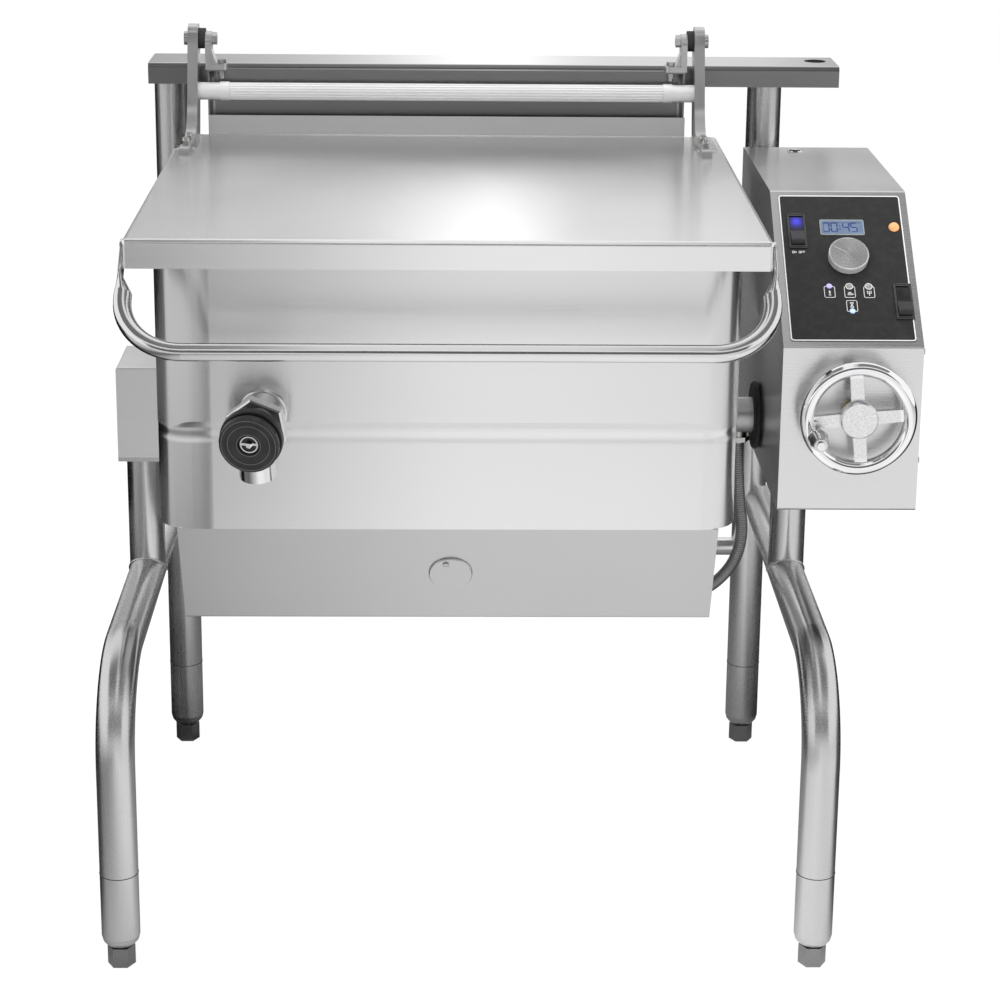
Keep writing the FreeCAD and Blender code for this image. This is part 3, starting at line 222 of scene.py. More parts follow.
def brushedSheet(name, look, other=None, form=None):
    # fine streaks along the rolling direction over slow clouds of handling; other gives a
    # second colour and roughness where its mask of the place is 1, and form a height in
    # metres for shapes too shallow for the CAD
    m = Shades(name)
    streaks = m.noise(m.stretched(look["grain"]), 1.0, 4.0, 0.65)
    clouds = m.noise(m.place, look["cloudSize"], 3.0, 0.55)
    tone = m.ramp(streaks, [(0.25, shade(look["colour"], 1 - look["contrast"])),
                            (0.75, shade(look["colour"], 1 + look["contrast"]))])
    worn = m.ramp(clouds, [(0.35, grey(0.93)), (0.65, grey(1.0))])    # dulled by handling
    colour = m.mix(1.0, tone, worn, "MULTIPLY")
    rough = m.plus(m.spread(streaks, *look["roughness"]), m.spread(clouds, -0.03, 0.03))
    if other:
        mask = other["mask"](m)
        colour = m.mix(mask, colour, other["colour"])
        rough = m.plus(m.times(rough, m.minus(1.0, mask)), m.times(mask, other["roughness"]))
    m.put(Base_Color=colour, Metallic=1.0, Roughness=rough)
    if "stretch" in look:
        m.brushedRoundX(look["stretch"])
    m.bump(streaks, look["depth"], 0.4 * mm, form(m) if form else None)
    return m.material


def polishedMetal(name, look):
    # bright metal with faint draw lines along its length and a few wiped marks
    m = Shades(name)
    lines = m.noise(m.stretched(look["grain"]), 1.0, 2.0, 0.5)
    marks = m.noise(m.place, look["cloudSize"], 4.0, 0.6)
    tone = m.ramp(marks, [(0.3, shade(look["colour"], 0.94)), (0.7, look["colour"])])
    m.put(Base_Color=tone, Metallic=look.get("metallic", 1.0),
          Roughness=m.plus(m.spread(marks, *look["roughness"]), m.spread(lines, -0.02, 0.02)))
    if "stretch" in look:
        m.brushedRoundX(look["stretch"])
    m.bump(lines, look["depth"], 0.3 * mm)
    return m.material


def castMetal(name, look):
    # sand-cast skin: rounded grain in bump and tone, darker in its hollows
    m = Shades(name)
    grain = m.noise(m.place, look["grainSize"], 5.0, 0.6)
    stains = m.noise(m.place, look["cloudSize"], 3.0, 0.5)
    tone = m.tint(m.spread(grain, 0.0, 1.0), look["colour"], 1 - look["contrast"],
                  1 + look["contrast"])
    m.put(Base_Color=tone, Metallic=look["metallic"],
          Roughness=m.spread(stains, *look["roughness"]))
    m.bump(grain, look["depth"], 0.6 * mm)
    return m.material


def axisDistance(m, centre, out):
    # distance of a place from the line through centre along out: |(place - centre) x out|
    away = m.vector("SUBTRACT", m.place, centre)
    return m.vector("LENGTH", m.vector("CROSS_PRODUCT", away, out))


def axisReach(m, centre, out):
    # how far a place lies out from centre along the axis: (place - centre) . out
    return m.vector("DOT_PRODUCT", m.vector("SUBTRACT", m.place, centre), out)


def turnedMetal(name, look, centre, out):
    # concentric turning lines about an axis, with a painted sheen that lightens and darkens the
    # colour in opposite fans round it
    m = Shades(name)
    ring = m.node("ShaderNodeCombineXYZ", {"X": axisDistance(m, centre, out)}).outputs[0]
    lines = m.noise(ring, look["pitch"], 2.0, 0.6)
    away = m.vector("SUBTRACT", m.place, centre)
    angle = m.maths("ARCTAN2", m.axis("X", away), m.axis("Z", away))
    # painted sheen: the colour swings with twice the angle round the axis
    paintedSheen = m.maths("SINE", m.plus(m.times(angle, 2.0), look["sheenTurn"]))
    tone = m.tint(m.spread(paintedSheen, 0.0, 1.0, -1.0, 1.0), look["colour"], 0.8)
    flank = m.below(axisReach(m, centre, out), look["flankFrom"])
    m.put(Base_Color=tone, Metallic=m.minus(1.0, m.times(flank, look["flankDull"])),
          Roughness=m.spread(lines, *look["roughness"]))
    m.bump(lines, look["depth"], 0.2 * mm)
    return m.material


def ringedMetal(name, look, centre, out):
    # bright metal inside the first radius, blackened beyond it, with a bright ring at the
    # edge and a bright bar across at one height
    m = Shades(name)
    far = axisDistance(m, centre, out)
    inner, ring, edge = look["radii"]
    rim = m.times(m.above(far, ring), m.below(far, edge))
    level = m.maths("ABSOLUTE", m.minus(m.axis("Z"), look["barHeight"]))
    bar = m.times(m.below(level, look["bar"]), m.below(far, ring))
    bright = m.larger(m.larger(m.below(far, inner), rim), bar)
    tone = m.tint(bright, look["colour"], 0.06)
    wear = m.noise(m.place, 300.0, 3.0, 0.5)
    m.put(Base_Color=tone, Metallic=0.9, Roughness=m.spread(wear, 0.12, 0.25))
    return m.material


def platedCasting(name, look, centre, out):
    # plating over a rough casting near the hub, smooth and bright on the turned rim
    m = Shades(name)
    grain = m.noise(m.place, look["grainSize"], 4.0, 0.65)
    marks = m.noise(m.place, look["cloudSize"], 4.0, 0.6)
    smooth = look["smoothFrom"]
    rough = m.spread(axisDistance(m, centre, out), 1.0, 0.0, smooth * 0.92, smooth)
    tone = m.tint(m.times(rough, m.spread(grain, 0.0, 0.5)), look["colour"], 1.0, 0.55)
    cast = m.times(rough, m.spread(grain, 0.10, 0.26))
    m.put(Base_Color=tone, Metallic=1.0,
          Roughness=m.plus(m.spread(marks, *look["roughness"]), cast))
    m.bump(m.times(rough, grain), look["depth"], 0.6 * mm)
    return m.material


def splitMetal(name, look, centre, out):
    # bright plating behind the split along the axis and on the spout, black bonnet ahead
    m = Shades(name)
    grain = m.noise(m.place, 500.0, 3.0, 0.5)
    spout = m.below(m.axis("Z"), look["spoutTop"])
    dark = m.times(m.above(axisReach(m, centre, out), look["split"]), m.minus(1.0, spout))
    m.put(Base_Color=m.mix(dark, look["colour"], look["dark"]), Metallic=m.minus(1.0, dark),
          Roughness=m.plus(m.spread(grain, 0.05, 0.1), m.times(dark, 0.25)))
    return m.material


def rippledSleeve(name, look, band):
    # dull steel sleeve with painted shade in the grooves between its ripples, read from the mesh
    m = Shades(name)
    groove = m.node("ShaderNodeAttribute", attribute_name=band).outputs["Fac"]
    dirt = m.noise(m.place, 60.0, 4.0, 0.6)
    # painted shade: the grooves take 0.45 of the colour
    tone = m.tint(groove, look["colour"], 0.45)
    tone = m.mix(m.spread(dirt, 0.0, 0.35), tone, shade(look["colour"], 0.6))
    m.put(Base_Color=tone, Metallic=0.8, Roughness=m.spread(dirt, 0.3, 0.45))
    return m.material


# Plastics, rubber and the rest

def mouldedPlastic(name, look):
    # fine spark-eroded texture with slightly worn, shinier patches
    m = Shades(name)
    grain = m.noise(m.place, look["grainSize"], 3.0, 0.6)
    wear = m.noise(m.place, look["cloudSize"], 3.0, 0.5)
    tone = m.tint(m.spread(wear, 0.0, 1.0), look["colour"], 1.0, look["lift"])
    m.put(Base_Color=tone, Roughness=m.spread(wear, *look["roughness"]))
    m.bump(grain, look["depth"], 0.3 * mm)
    return m.material


def printedFilm(name, look):
    # polyester film: an even dark print with the faint orange peel of its backing
    m = Shades(name)
    peel = m.noise(m.place, look["peelSize"], 2.0, 0.4)
    dust = m.noise(m.place, look["dustSize"], 5.0, 0.7)
    tone = m.mix(m.spread(dust, 0.0, 1.0, 0.45, 0.75), look["colour"], look["dust"])
    m.put(Base_Color=tone, Roughness=m.spread(dust, 0.32, 0.42), Specular_IOR_Level=0.25)
    m.bump(peel, 0.15, 0.4 * mm)
    return m.material


def litInk(name, colour, glow=0.0):
    # printed marks with a slight unevenness of ink; glow, where given, is a painted glow, as no
    # lamp lies behind them
    m = Shades(name)
    uneven = m.noise(m.place, 900.0, 3.0, 0.6)
    tone = m.tint(m.spread(uneven, 0.0, 1.0), colour, 0.88)
    m.put(Base_Color=tone, Roughness=0.45)
    if glow:
        m.put(Emission_Color=tone, Emission_Strength=glow)
    return m.material


def lampLenses(name, look):
    # one node holds every lens, so its colour follows the place on the panel
    m = Shades(name)
    amber = m.above(m.axis("X"), look["amberFrom"])
    violet = m.below(m.axis("X"), look["violetTo"])
    low = m.below(m.axis("Z"), look["blueBelow"])
    tone = m.mix(violet, look["white"], look["violet"])
    tone = m.mix(low, tone, look["blue"])
    tone = m.mix(amber, tone, look["amber"])
    unlit = m.below(m.larger(m.larger(violet, low), amber), 0.5)
    tone = m.mix(m.times(unlit, 0.8), tone, grey(0.03))
    rim = m.noise(m.place, 700.0, 3.0, 0.5)
    worn = m.mix(m.spread(rim, 0.0, 0.35), tone, grey(0.9))
    m.put(Base_Color=worn, Roughness=0.18, Emission_Color=tone, Emission_Strength=0.55,
          Coat_Weight=0.6, Coat_Roughness=0.05)
    return m.material


def litRocker(name, look, centre):
    # smoked rocker whose lamp glows through the upper end
    m = Shades(name)
    far = m.vector("DISTANCE", m.place, centre)
    glow = m.ramp(m.spread(far, 0.0, 1.0, 0.0, look["reach"]), look["glow"])
    grain = m.noise(m.place, 1800.0, 2.0, 0.5)
    tone = m.tint(m.spread(grain, 0.0, 1.0), look["colour"], 1.0, 1.3)
    m.put(Base_Color=tone, Roughness=m.spread(grain, 0.28, 0.4), Emission_Color=glow,
          Emission_Strength=1.4)
    m.bump(grain, 0.1, 0.2 * mm)
    return m.material


def displayGlass(name, look):
    # clear window over a grey liquid-crystal field with a faint cell grid
    m = Shades(name)
    cells = m.node("ShaderNodeTexChecker", {"Vector": m.place, "Scale": 1600.0})
    field = m.noise(m.place, 60.0, 2.0, 0.5)
    tone = m.mix(m.spread(field, 0.0, 1.0), look["colour"], look["edge"])
    tone = m.mix(m.times(cells.outputs["Fac"], 0.08), tone, look["cell"])
    m.put(Base_Color=tone, Roughness=m.spread(field, 0.1, 0.16), Coat_Weight=0.8,
          Coat_Roughness=0.04)
    return m.material


def circuitBoard(name, look):
    # solder mask with copper tracks showing through as a paler grid
    m = Shades(name)
    tracks = m.node("ShaderNodeTexBrick", {"Vector": m.stretched((60, 60, 60)),
                                           "Mortar Size": 0.035, "Scale": 3.0})
    spots = m.noise(m.place, 300.0, 3.0, 0.5)
    tone = m.mix(tracks.outputs["Fac"], look["colour"], look["track"])
    tone = m.mix(m.spread(spots, 0.0, 0.3), tone, shade(look["colour"], 0.5))
    m.put(Base_Color=tone, Roughness=m.spread(spots, 0.3, 0.5))
    return m.material


def mineralWool(name, look):
    # pressed fibre felt: long crossed fibres with darker gaps
    m = Shades(name)
    long = m.noise(m.stretched((40, 400, 400)), 1.0, 4.0, 0.7)
    cross = m.noise(m.stretched((400, 40, 400)), 1.0, 4.0, 0.7)
    fibre = m.times(long, cross)
    tone = m.tint(m.spread(fibre, 0.0, 1.0, 0.15, 0.35), look["colour"], 0.7)
    m.put(Base_Color=tone, Roughness=0.95, Sheen_Weight=0.3)
    m.bump(fibre, 0.8, 2.0 * mm)
    return m.material


# Places that finishes and pieces are set out from

sideTubes = ["side_tube_left", "side_tube_right"]
feet = ["levelling_foot_" + place
        for place in ("front_left", "front_right", "rear_left", "rear_right")]


def boxMiddle(node):
    low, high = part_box(node)
    return (low + high) / 2


shellLow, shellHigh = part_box("console_shell")
panel = {
    "slopeRun": 200 * mm,    # front of the console to the head of the slope
    "slopeDrop": 168 * mm,
}
slopeAngle = math.atan2(panel["slopeDrop"], panel["slopeRun"])
panelCorner = np.array([shellLow.x, shellLow.y + panel["slopeRun"], shellHigh.z])
panelAcross = np.array([1.0, 0.0, 0.0])
panelDown = np.array([0.0, -math.cos(slopeAngle), -math.sin(slopeAngle)])
panelOut = np.array([0.0, -math.sin(slopeAngle), math.cos(slopeAngle)])


def onPanel(u, v, w):
    # a point u across, v down and w out of the sloped face, in millimetres
    u, v, w = (np.asarray(a, float)[..., None] * mm for a in (u, v, w))
    return panelCorner + u * panelAcross + v * panelDown + w * panelOut


valve = {
    "start": (-312.5 * mm, -351.95 * mm, 773.0 * mm),    # where its axis meets the pan front
    "down": 11.0, "left": 8.0,                           # degrees
    "spigot": 28.0 * mm, "weld": 1.8 * mm, "weldAt": 1.5 * mm,
    "nutFrom": 34.0 * mm, "nutTo": 47.5 * mm, "nutAcross": 69.0 * mm, "nutTurn": 38.0,
    "nutEdge": 1.2 * mm, "nutEdgeSize": 0.94,            # broken edge: its length and size
    "knobRings": ((33.6 * mm, 92 * mm), (26.0 * mm, 91 * mm), (14.6 * mm, 91 * mm)),
    "knobRingLine": 0.45 * mm,
}
valveDown, valveLeft = math.radians(valve["down"]), math.radians(valve["left"])
valveOut = np.array([-math.sin(valveLeft) * math.cos(valveDown),
                     -math.cos(valveLeft) * math.cos(valveDown), -math.sin(valveDown)])
valveStart = np.array(valve["start"])
valveAxis = (valve["start"], tuple(valveOut))


# Looks: one dictionary for each finish

steelLooks = {
    "grey": {"colour": grey(0.65), "grain": (6, 6, 900), "cloudSize": 2.2,
             "contrast": 0.025, "roughness": (0.36, 0.44), "depth": 0.03, "stretch": 0.6},
    "housing": {"colour": grey(0.92), "grain": (6, 6, 900), "cloudSize": 2.2,
                "contrast": 0.025, "roughness": (0.34, 0.42), "depth": 0.03, "stretch": 0.6},
    # riser and shelf: the same steel in darker tones, as painted shade on their fronts
    "riser": {"colour": grey(0.34), "grain": (6, 900, 900), "cloudSize": 2.2,
              "contrast": 0.04, "roughness": (0.28, 0.36), "depth": 0.03, "stretch": 0.6},
    "shelf": {"colour": grey(0.24), "grain": (6, 900, 900), "cloudSize": 2.2,
              "contrast": 0.04, "roughness": (0.28, 0.36), "depth": 0.03},
    "lid": {"colour": grey(0.93), "grain": (9, 900, 900), "cloudSize": 1.8,
            "contrast": 0.02, "roughness": (0.20, 0.25), "depth": 0.012, "stretch": 0.85},
    "pan": {"colour": grey(0.86), "grain": (7, 700, 700), "cloudSize": 1.6,
            "contrast": 0.015, "roughness": (0.23, 0.27), "depth": 0.006, "stretch": 0.85},
    "console": {"colour": grey(0.84), "grain": (7, 7, 900), "cloudSize": 2.0,
                "contrast": 0.015, "roughness": (0.27, 0.32), "depth": 0.007, "stretch": 0.7},
}
tubeLook = {"colour": grey(0.68), "grain": (500, 500, 12), "cloudSize": 6.0,
            "roughness": (0.24, 0.29), "depth": 0.004, "stretch": 0.75}
trunnionLook = {"colour": grey(0.55), "grain": (12, 500, 500), "cloudSize": 6.0,
                "roughness": (0.34, 0.42), "depth": 0.03}
barLook = {"colour": grey(0.78), "grain": (12, 500, 500), "cloudSize": 6.0,
           "roughness": (0.12, 0.18), "depth": 0.01}
fluteLook = {"colour": grey(0.98), "grain": (12, 200, 200), "cloudSize": 8.0,
             "metallic": 0.5, "roughness": (0.34, 0.42), "depth": 0.0}
chromeLook = {"colour": (0.74, 0.74, 0.75), "grain": (60, 60, 60), "cloudSize": 14.0,
              "roughness": (0.05, 0.09), "depth": 0.01}
fastenerLook = {"colour": (0.56, 0.56, 0.55), "grain": (300, 300, 300), "cloudSize": 40.0,
                "roughness": (0.2, 0.32), "depth": 0.05}
aluminiumLook = {"colour": grey(0.66), "grainSize": 900.0, "cloudSize": 25.0,
                 "contrast": 0.06, "metallic": 1.0, "roughness": (0.3, 0.42), "depth": 0.12}
ironLook = {"colour": grey(0.10), "grainSize": 450.0, "cloudSize": 30.0,
            "contrast": 0.25, "metallic": 0.6, "roughness": (0.5, 0.7), "depth": 0.6}
footLook = {"colour": grey(0.30), "grainSize": 500.0, "cloudSize": 40.0,
            "contrast": 0.2, "metallic": 1.0, "roughness": (0.3, 0.5), "depth": 0.3}
bronzeLook = {"colour": (0.42, 0.30, 0.15), "grainSize": 700.0, "cloudSize": 30.0,
              "contrast": 0.08, "metallic": 1.0, "roughness": (0.25, 0.4), "depth": 0.1}
rubberLook = {"colour": grey(0.018), "grainSize": 600.0, "cloudSize": 40.0,
              "lift": 1.8, "roughness": (0.55, 0.75), "depth": 0.25}
plasticLook = {"colour": (0.014, 0.014, 0.015), "grainSize": 1500.0, "cloudSize": 60.0,
               "lift": 1.7, "roughness": (0.3, 0.45), "depth": 0.12}
filmLook = {"colour": grey(0.030), "dust": grey(0.042), "peelSize": 500.0, "dustSize": 90.0}
glassLook = {"colour": (0.16, 0.22, 0.34), "edge": (0.22, 0.29, 0.42), "cell": (0.10, 0.14, 0.25)}
wheelLook = {"colour": (0.93, 0.93, 0.94), "grainSize": 420.0, "cloudSize": 14.0,
             "roughness": (0.04, 0.07), "smoothFrom": 58 * mm, "depth": 0.5}
bonnetLook = {"colour": grey(0.80), "dark": (0.012, 0.012, 0.013), "split": 47 * mm,
              "spoutTop": valve["start"][2] - 42 * mm}
stemLook = {"colour": grey(0.90), "radii": (3.4 * mm, 9.6 * mm, 11.2 * mm),
            "bar": 1.5 * mm, "barHeight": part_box("valve_stem")[0].z + 11.5 * mm}
leadLook = {"colour": grey(0.42)}
boardLook = {"colour": (0.02, 0.12, 0.05), "track": (0.10, 0.28, 0.12)}
woolLook = {"colour": (0.66, 0.62, 0.50)}
lampLook = {
    "amberFrom": float(onPanel(145, 0, 0)[0]),
    "violetTo": float(onPanel(80, 0, 0)[0]),
    "blueBelow": float(onPanel(0, 185, 0)[2]),
    "white": (0.75, 0.75, 0.78), "violet": (0.42, 0.38, 0.85),
    "blue": (0.45, 0.62, 0.95), "amber": (0.75, 0.30, 0.06),
}
rockerLook = {
    "lamp": (31.6, 55.0, 9.0),    # across, down and out of the panel, in millimetres
    "colour": (0.02, 0.02, 0.025), "reach": 17 * mm,
    "glow": ((0.0, (0.9, 0.95, 1.0)), (0.16, (0.5, 0.55, 1.0)), (0.34, (0.05, 0.05, 0.7)),
             (0.6, (0.01, 0.01, 0.16)), (0.9, (0.0, 0.0, 0.01)), (1.0, grey(0.0))),
}
knobLook = {
    "face": (97.0, 116.5, 14.0),
    "colour": grey(0.97), "pitch": 9000.0, "sheenTurn": 0.6,
    "flankFrom": -0.5 * mm, "flankDull": 0.7, "roughness": (0.2, 0.32), "depth": 0.06,
}


# Where a finish changes within one node, painted light and shade on flat tops, and shapes too
# shallow for the CAD

def spigotMask(m):
    # 1 on the valve's spigot, the one part of the pan that stands ahead of its front wall
    ahead = m.below(m.axis("Y"), valve["start"][1] - 2 * mm)
    return m.times(ahead, m.below(m.axis("Z"), valve["start"][2] + 60 * mm))


def flangeMask(m):
    # 1 on the flange that stands up along the rear of the lid
    lidTop = 995 * mm
    rear = m.above(m.axis("Y"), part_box("lid_panel")[1].y - 8 * mm)
    return m.times(rear, m.above(m.axis("Z"), lidTop + 1.5 * mm))


def paintedTopMask(node):
    # mask that is 1 on a node's flat top, which would mirror the brightest of the studio; the
    # colour set there is painted shade on the riser's top and painted light on the shelf's top
    return lambda m: m.above(m.axis("Z"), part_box(node)[1].z - 0.5 * mm)


panForm = {
    "cornerFrom": -425 * mm, "cornerTo": -377 * mm, "cornerFall": 11.7 * mm,
    "grooveAt": 737 * mm, "grooveWide": 18 * mm, "grooveDeep": 0.8 * mm,
}


def panShape(m):
    # the walls fall away slowly into the left corners, as half a cosine of fall F, and a
    # shallow groove runs under the lap: F/2 cos(angle) - D/2 (1 + cos(2 pi (z - z0) / w))
    look = panForm
    angle = m.spread(m.axis("X"), math.pi, 0.0, look["cornerFrom"], look["cornerTo"])
    corner = m.times(m.maths("COSINE", angle), look["cornerFall"] / 2)
    low, high = (look["grooveAt"] + side * look["grooveWide"] / 2 for side in (-1, 1))
    angle = m.spread(m.axis("Z"), -math.pi, math.pi, low, high)
    groove = m.times(m.plus(m.maths("COSINE", angle), 1.0), look["grooveDeep"] / 2)
    return m.minus(corner, groove)


# Finishes of the CAD nodes; those with a name are also used on the pieces below

tubeSteel = polishedMetal("polished tube", tubeLook)
chrome = polishedMetal("chrome plate", chromeLook)
leadSleeve = rippledSleeve("lead sleeve", leadLook, "ripple")
seamShadow = mouldedPlastic("seam shadow", rubberLook)
# white print with a faint painted glow
whiteInkPaintedGlow = litInk("white ink with painted glow", grey(0.85), 0.15)
digitInk = litInk("display digits", (0.015, 0.035, 0.20))
bezelInk = litInk("bezel grey", (0.42, 0.43, 0.42))
# lighter grey lines on the black plastic: painted highlights along the switch frames' edges and
# the knob's rings
edgeHighlight = litInk("painted edge highlight", grey(0.12))

finishes = [
    (brushedSheet("grey sheet", steelLooks["grey"]), ["heater_box", "access_cover"]),
    (brushedSheet("housing sheet", steelLooks["housing"]), ["bearing_housing"]),
    # the riser's top is painted darker and the shelf's top lighter than their fronts: painted
    # shade and painted light
    (brushedSheet("riser sheet", steelLooks["riser"],
                  {"mask": paintedTopMask("rear_riser"), "colour": grey(0.14), "roughness": 0.34}),
     ["rear_riser"]),
    (brushedSheet("shelf sheet", steelLooks["shelf"],
                  {"mask": paintedTopMask("faucet_shelf"), "colour": grey(0.72), "roughness": 0.3}),
     ["faucet_shelf"]),
    (brushedSheet("lid sheet", steelLooks["lid"],
                  {"mask": flangeMask, "colour": grey(0.97), "roughness": 0.4}),
     ["lid_panel"]),
    (brushedSheet("pan sheet", steelLooks["pan"],
                  {"mask": spigotMask, "colour": (0.62, 0.62, 0.61), "roughness": 0.08},
                  panShape),
     ["cooking_pan", "lower_casing"]),
    (brushedSheet("console sheet", steelLooks["console"]),
     ["console_shell", "console_side_cover"]),
    (tubeSteel, sideTubes + ["rear_legs", "middle_posts", "bullet_feet", "worm_shaft",
                             "valve_plug"]),
    (polishedMetal("polished bar", barLook), ["lid_handle", "rear_tie_tube"]),
    (polishedMetal("trunnion steel", trunnionLook), ["trunnion_left", "trunnion_right"]),
    (polishedMetal("fluted bar", fluteLook), ["spreader_bar"]),
    (chrome, ["crank_grip", "top_plug"]),
    (platedCasting("plated handwheel", wheelLook, tuple(boxMiddle("handwheel")), (0, 1, 0)),
     ["handwheel"]),
    (splitMetal("valve plating", bonnetLook, *valveAxis), ["valve_body"]),
    (ringedMetal("valve stem", stemLook, *valveAxis), ["valve_stem"]),
    (castMetal("cast aluminium", aluminiumLook),
     ["lid_arm_left", "lid_arm_right", "hinge_brackets", "cast_heaters"]),
    (turnedMetal("turned aluminium", knobLook, tuple(onPanel(*knobLook["face"])),
                 tuple(panelOut)), ["timer_knob"]),
    (polishedMetal("fastener steel", fastenerLook),
     ["arm_plates", "arm_cap_nuts", "bracket_bolts", "hinge_pins", "access_screw",
      "cover_screws", "conduit_glands", "cross_channel", "heater_conduit"]),
    (castMetal("cast iron", ironLook), ["bearing_blocks", "worm_supports"]),
    (castMetal("foot steel", footLook), feet),
    (castMetal("bearing bronze", bronzeLook), ["shaft_bushes", "worm_wheel"]),
    (mouldedPlastic("black rubber", rubberLook), ["seal_disc", "hinge_bushes"]),
    (mouldedPlastic("black plastic", plasticLook),
     ["valve_knob", "switch_frames", "function_rocker"]),
    (litRocker("lit rocker", rockerLook, tuple(onPanel(*rockerLook["lamp"]))),
     ["power_rocker"]),
    (printedFilm("overlay film", filmLook), ["control_overlay"]),
    (displayGlass("display window", glassLook), ["display_window"]),
    (lampLenses("lamp lenses", lampLook), ["indicator_lamps"]),
    (circuitBoard("circuit board", boardLook), ["control_board"]),
    (mineralWool("mineral slab", woolLook), ["insulation_slab"]),
]
for material, names in finishes:
    for name in names:
        mesh = nodes[name].data
        mesh.materials.clear()
        mesh.materials.append(material)
print("finishes on", sum(len(names) for material, names in finishes), "CAD nodes")


# Surfaces swept along a path

def sweep(path, profile, up, closed=False, swell=None):
    # each path point carries the profile in the plane across the path: its first number
    # runs along up made square to the path, its second along path x up
    path = np.asarray(path, float)
    profile = np.asarray(profile, float)
    if closed:
        ahead = np.roll(path, -1, 0) - np.roll(path, 1, 0)
    else:
        ahead = np.gradient(path, axis=0)
    ahead /= np.linalg.norm(ahead, axis=1, keepdims=True)
    first = np.asarray(up, float) - ahead * (ahead @ np.asarray(up, float))[:, None]
    first /= np.linalg.norm(first, axis=1, keepdims=True)
    second = np.cross(ahead, first)
    size = np.ones(len(path)) if swell is None else np.asarray(swell, float)
    across = (profile[None, :, :1] * first[:, None, :]
              + profile[None, :, 1:] * second[:, None, :])
    points = path[:, None, :] + size[:, None, None] * across
    count, around = points.shape[:2]
    rows = np.arange(count if closed else count - 1)[:, None]
    cols = np.arange(around)[None, :]
    nextRow, nextCol = (rows + 1) % count, (cols + 1) % around
    quads = np.stack([rows * around + cols, rows * around + nextCol,
                      nextRow * around + nextCol, nextRow * around + cols], -1)
    faces = quads.reshape(-1, 4).tolist()
    if not closed:
        faces.append(list(range(around))[::-1])
        faces.append(list(range((count - 1) * around, count * around)))
    return points.reshape(-1, 3), faces


def meshPiece(name, parts, material, body, smooth=True):
    # one object from several closed surfaces
    points, faces, offset = [], [], 0
    for partPoints, partFaces in parts:
        points.append(partPoints)
        faces += [[i + offset for i in face] for face in partFaces]
        offset += len(partPoints)
    mesh = bpy.data.meshes.new(name)
    mesh.from_pydata(np.concatenate(points).tolist(), [], faces)
    mesh.polygons.foreach_set("use_smooth", [smooth] * len(mesh.polygons))
    mesh.materials.append(material)
    mesh.update()
    piece = bpy.data.objects.new(name, mesh)
    scene.collection.objects.link(piece)
    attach(piece, body)
    return piece


def circleProfile(radius, count):
    # points (r cos a, r sin a) at even angles a
    angle = np.linspace(0, 2 * np.pi, count, endpoint=False)
    return np.stack([radius * np.cos(angle), radius * np.sin(angle)], -1)


def barProfile(width, low, high):
    # flat stroke: low to high off the face, width across
    half = width / 2
    return np.array([(low, -half), (high, -half), (high, half), (low, half)])


def roundedLoop(u0, u1, v0, v1, radius, turn=8):
    # closed loop of four straight sides and quarter circles
    quarter = np.linspace(0, np.pi / 2, turn)
    corners = ((u1 - radius, v0 + radius, -np.pi / 2), (u1 - radius, v1 - radius, 0.0),
               (u0 + radius, v1 - radius, np.pi / 2), (u0 + radius, v0 + radius, np.pi))
    loop = [np.stack([cu + radius * np.cos(quarter + start),
                      cv + radius * np.sin(quarter + start)], -1)
            for cu, cv, start in corners]
    return np.concatenate(loop)


# Printing on the overlay: white border and plain icon frames

printing = {
    "border": (11.2, 175.8, 9.2, 250.8, 3.6, 1.7),   # box, corner radius, line width
    "frames": ((61.0, 75.0, 163.0, 181.0), (88.0, 102.0, 163.0, 181.0),
               (114.0, 128.0, 163.0, 181.0), (89.0, 103.0, 186.0, 204.0)),
    "frameLine": 0.8, "frameCorner": 2.0,
    "rings": ((95.0, 162.5), (121.0, 162.5)),
    "ringRadius": 4.6, "ringLine": 1.3,
    "symbols": (                                     # plain signs: heat, pan, fork, hourglass
        ((68.0, 169.5), (68.0, 175.5)), ((66.2, 177.0), (69.8, 177.0)),
        ((66.6, 171.5), (69.4, 171.5)), ((66.6, 173.5), (69.4, 173.5)),
        ((91.5, 176.5), (98.5, 176.5)), ((92.0, 174.6), (98.0, 174.6)),
        ((93.0, 172.8), (97.0, 172.8)), ((98.5, 175.5), (100.5, 175.5)),
        ((121.0, 170.0), (121.0, 178.0)), ((118.5, 170.0), (118.5, 174.0)),
        ((123.5, 170.0), (123.5, 174.0)), ((118.5, 174.0), (123.5, 174.0)),
        ((93.5, 189.5), (98.5, 189.5)), ((93.5, 197.0), (98.5, 197.0)),
        ((94.0, 190.0), (98.0, 196.5)), ((98.0, 190.0), (94.0, 196.5)),
    ),
    "symbolLine": 1.0,
    "words": (("ON", 23.0, 104.0, 3.2), ("OFF", 32.0, 104.0, 3.2)),
    "letterLine": 0.65, "letterWide": 0.62, "letterPitch": 0.95,    # shares of the height
    "low": 0.72, "high": 0.95,
}
letters = {                                          # strokes in a box one wide and one high
    "O": (((0, 0), (1, 0)), ((1, 0), (1, 1)), ((1, 1), (0, 1)), ((0, 1), (0, 0))),
    "N": (((0, 1), (0, 0)), ((0, 0), (1, 1)), ((1, 1), (1, 0))),
    "F": (((0, 1), (0, 0)), ((0, 0), (1, 0)), ((0, 0.5), (0.8, 0.5))),
}


def letterStrokes(text, u, v, height, look):
    # two-point strokes of each letter, set side by side from (u, v)
    strokes = []
    for place, letter in enumerate(text):
        for ends in letters[letter]:
            ends = np.array(ends, float) * (height * look["letterWide"], height)
            strokes.append(ends + (u + place * height * look["letterPitch"], v))
    return strokes


def panelStroke(points, width, look, closed=True):
    # a flat stroke through (across, down) points, standing low to high off the face
    path = onPanel(points[:, 0], points[:, 1], 0.0)
    profile = barProfile(width * mm, look["low"] * mm, look["high"] * mm)
    return sweep(path, profile, panelOut, closed)


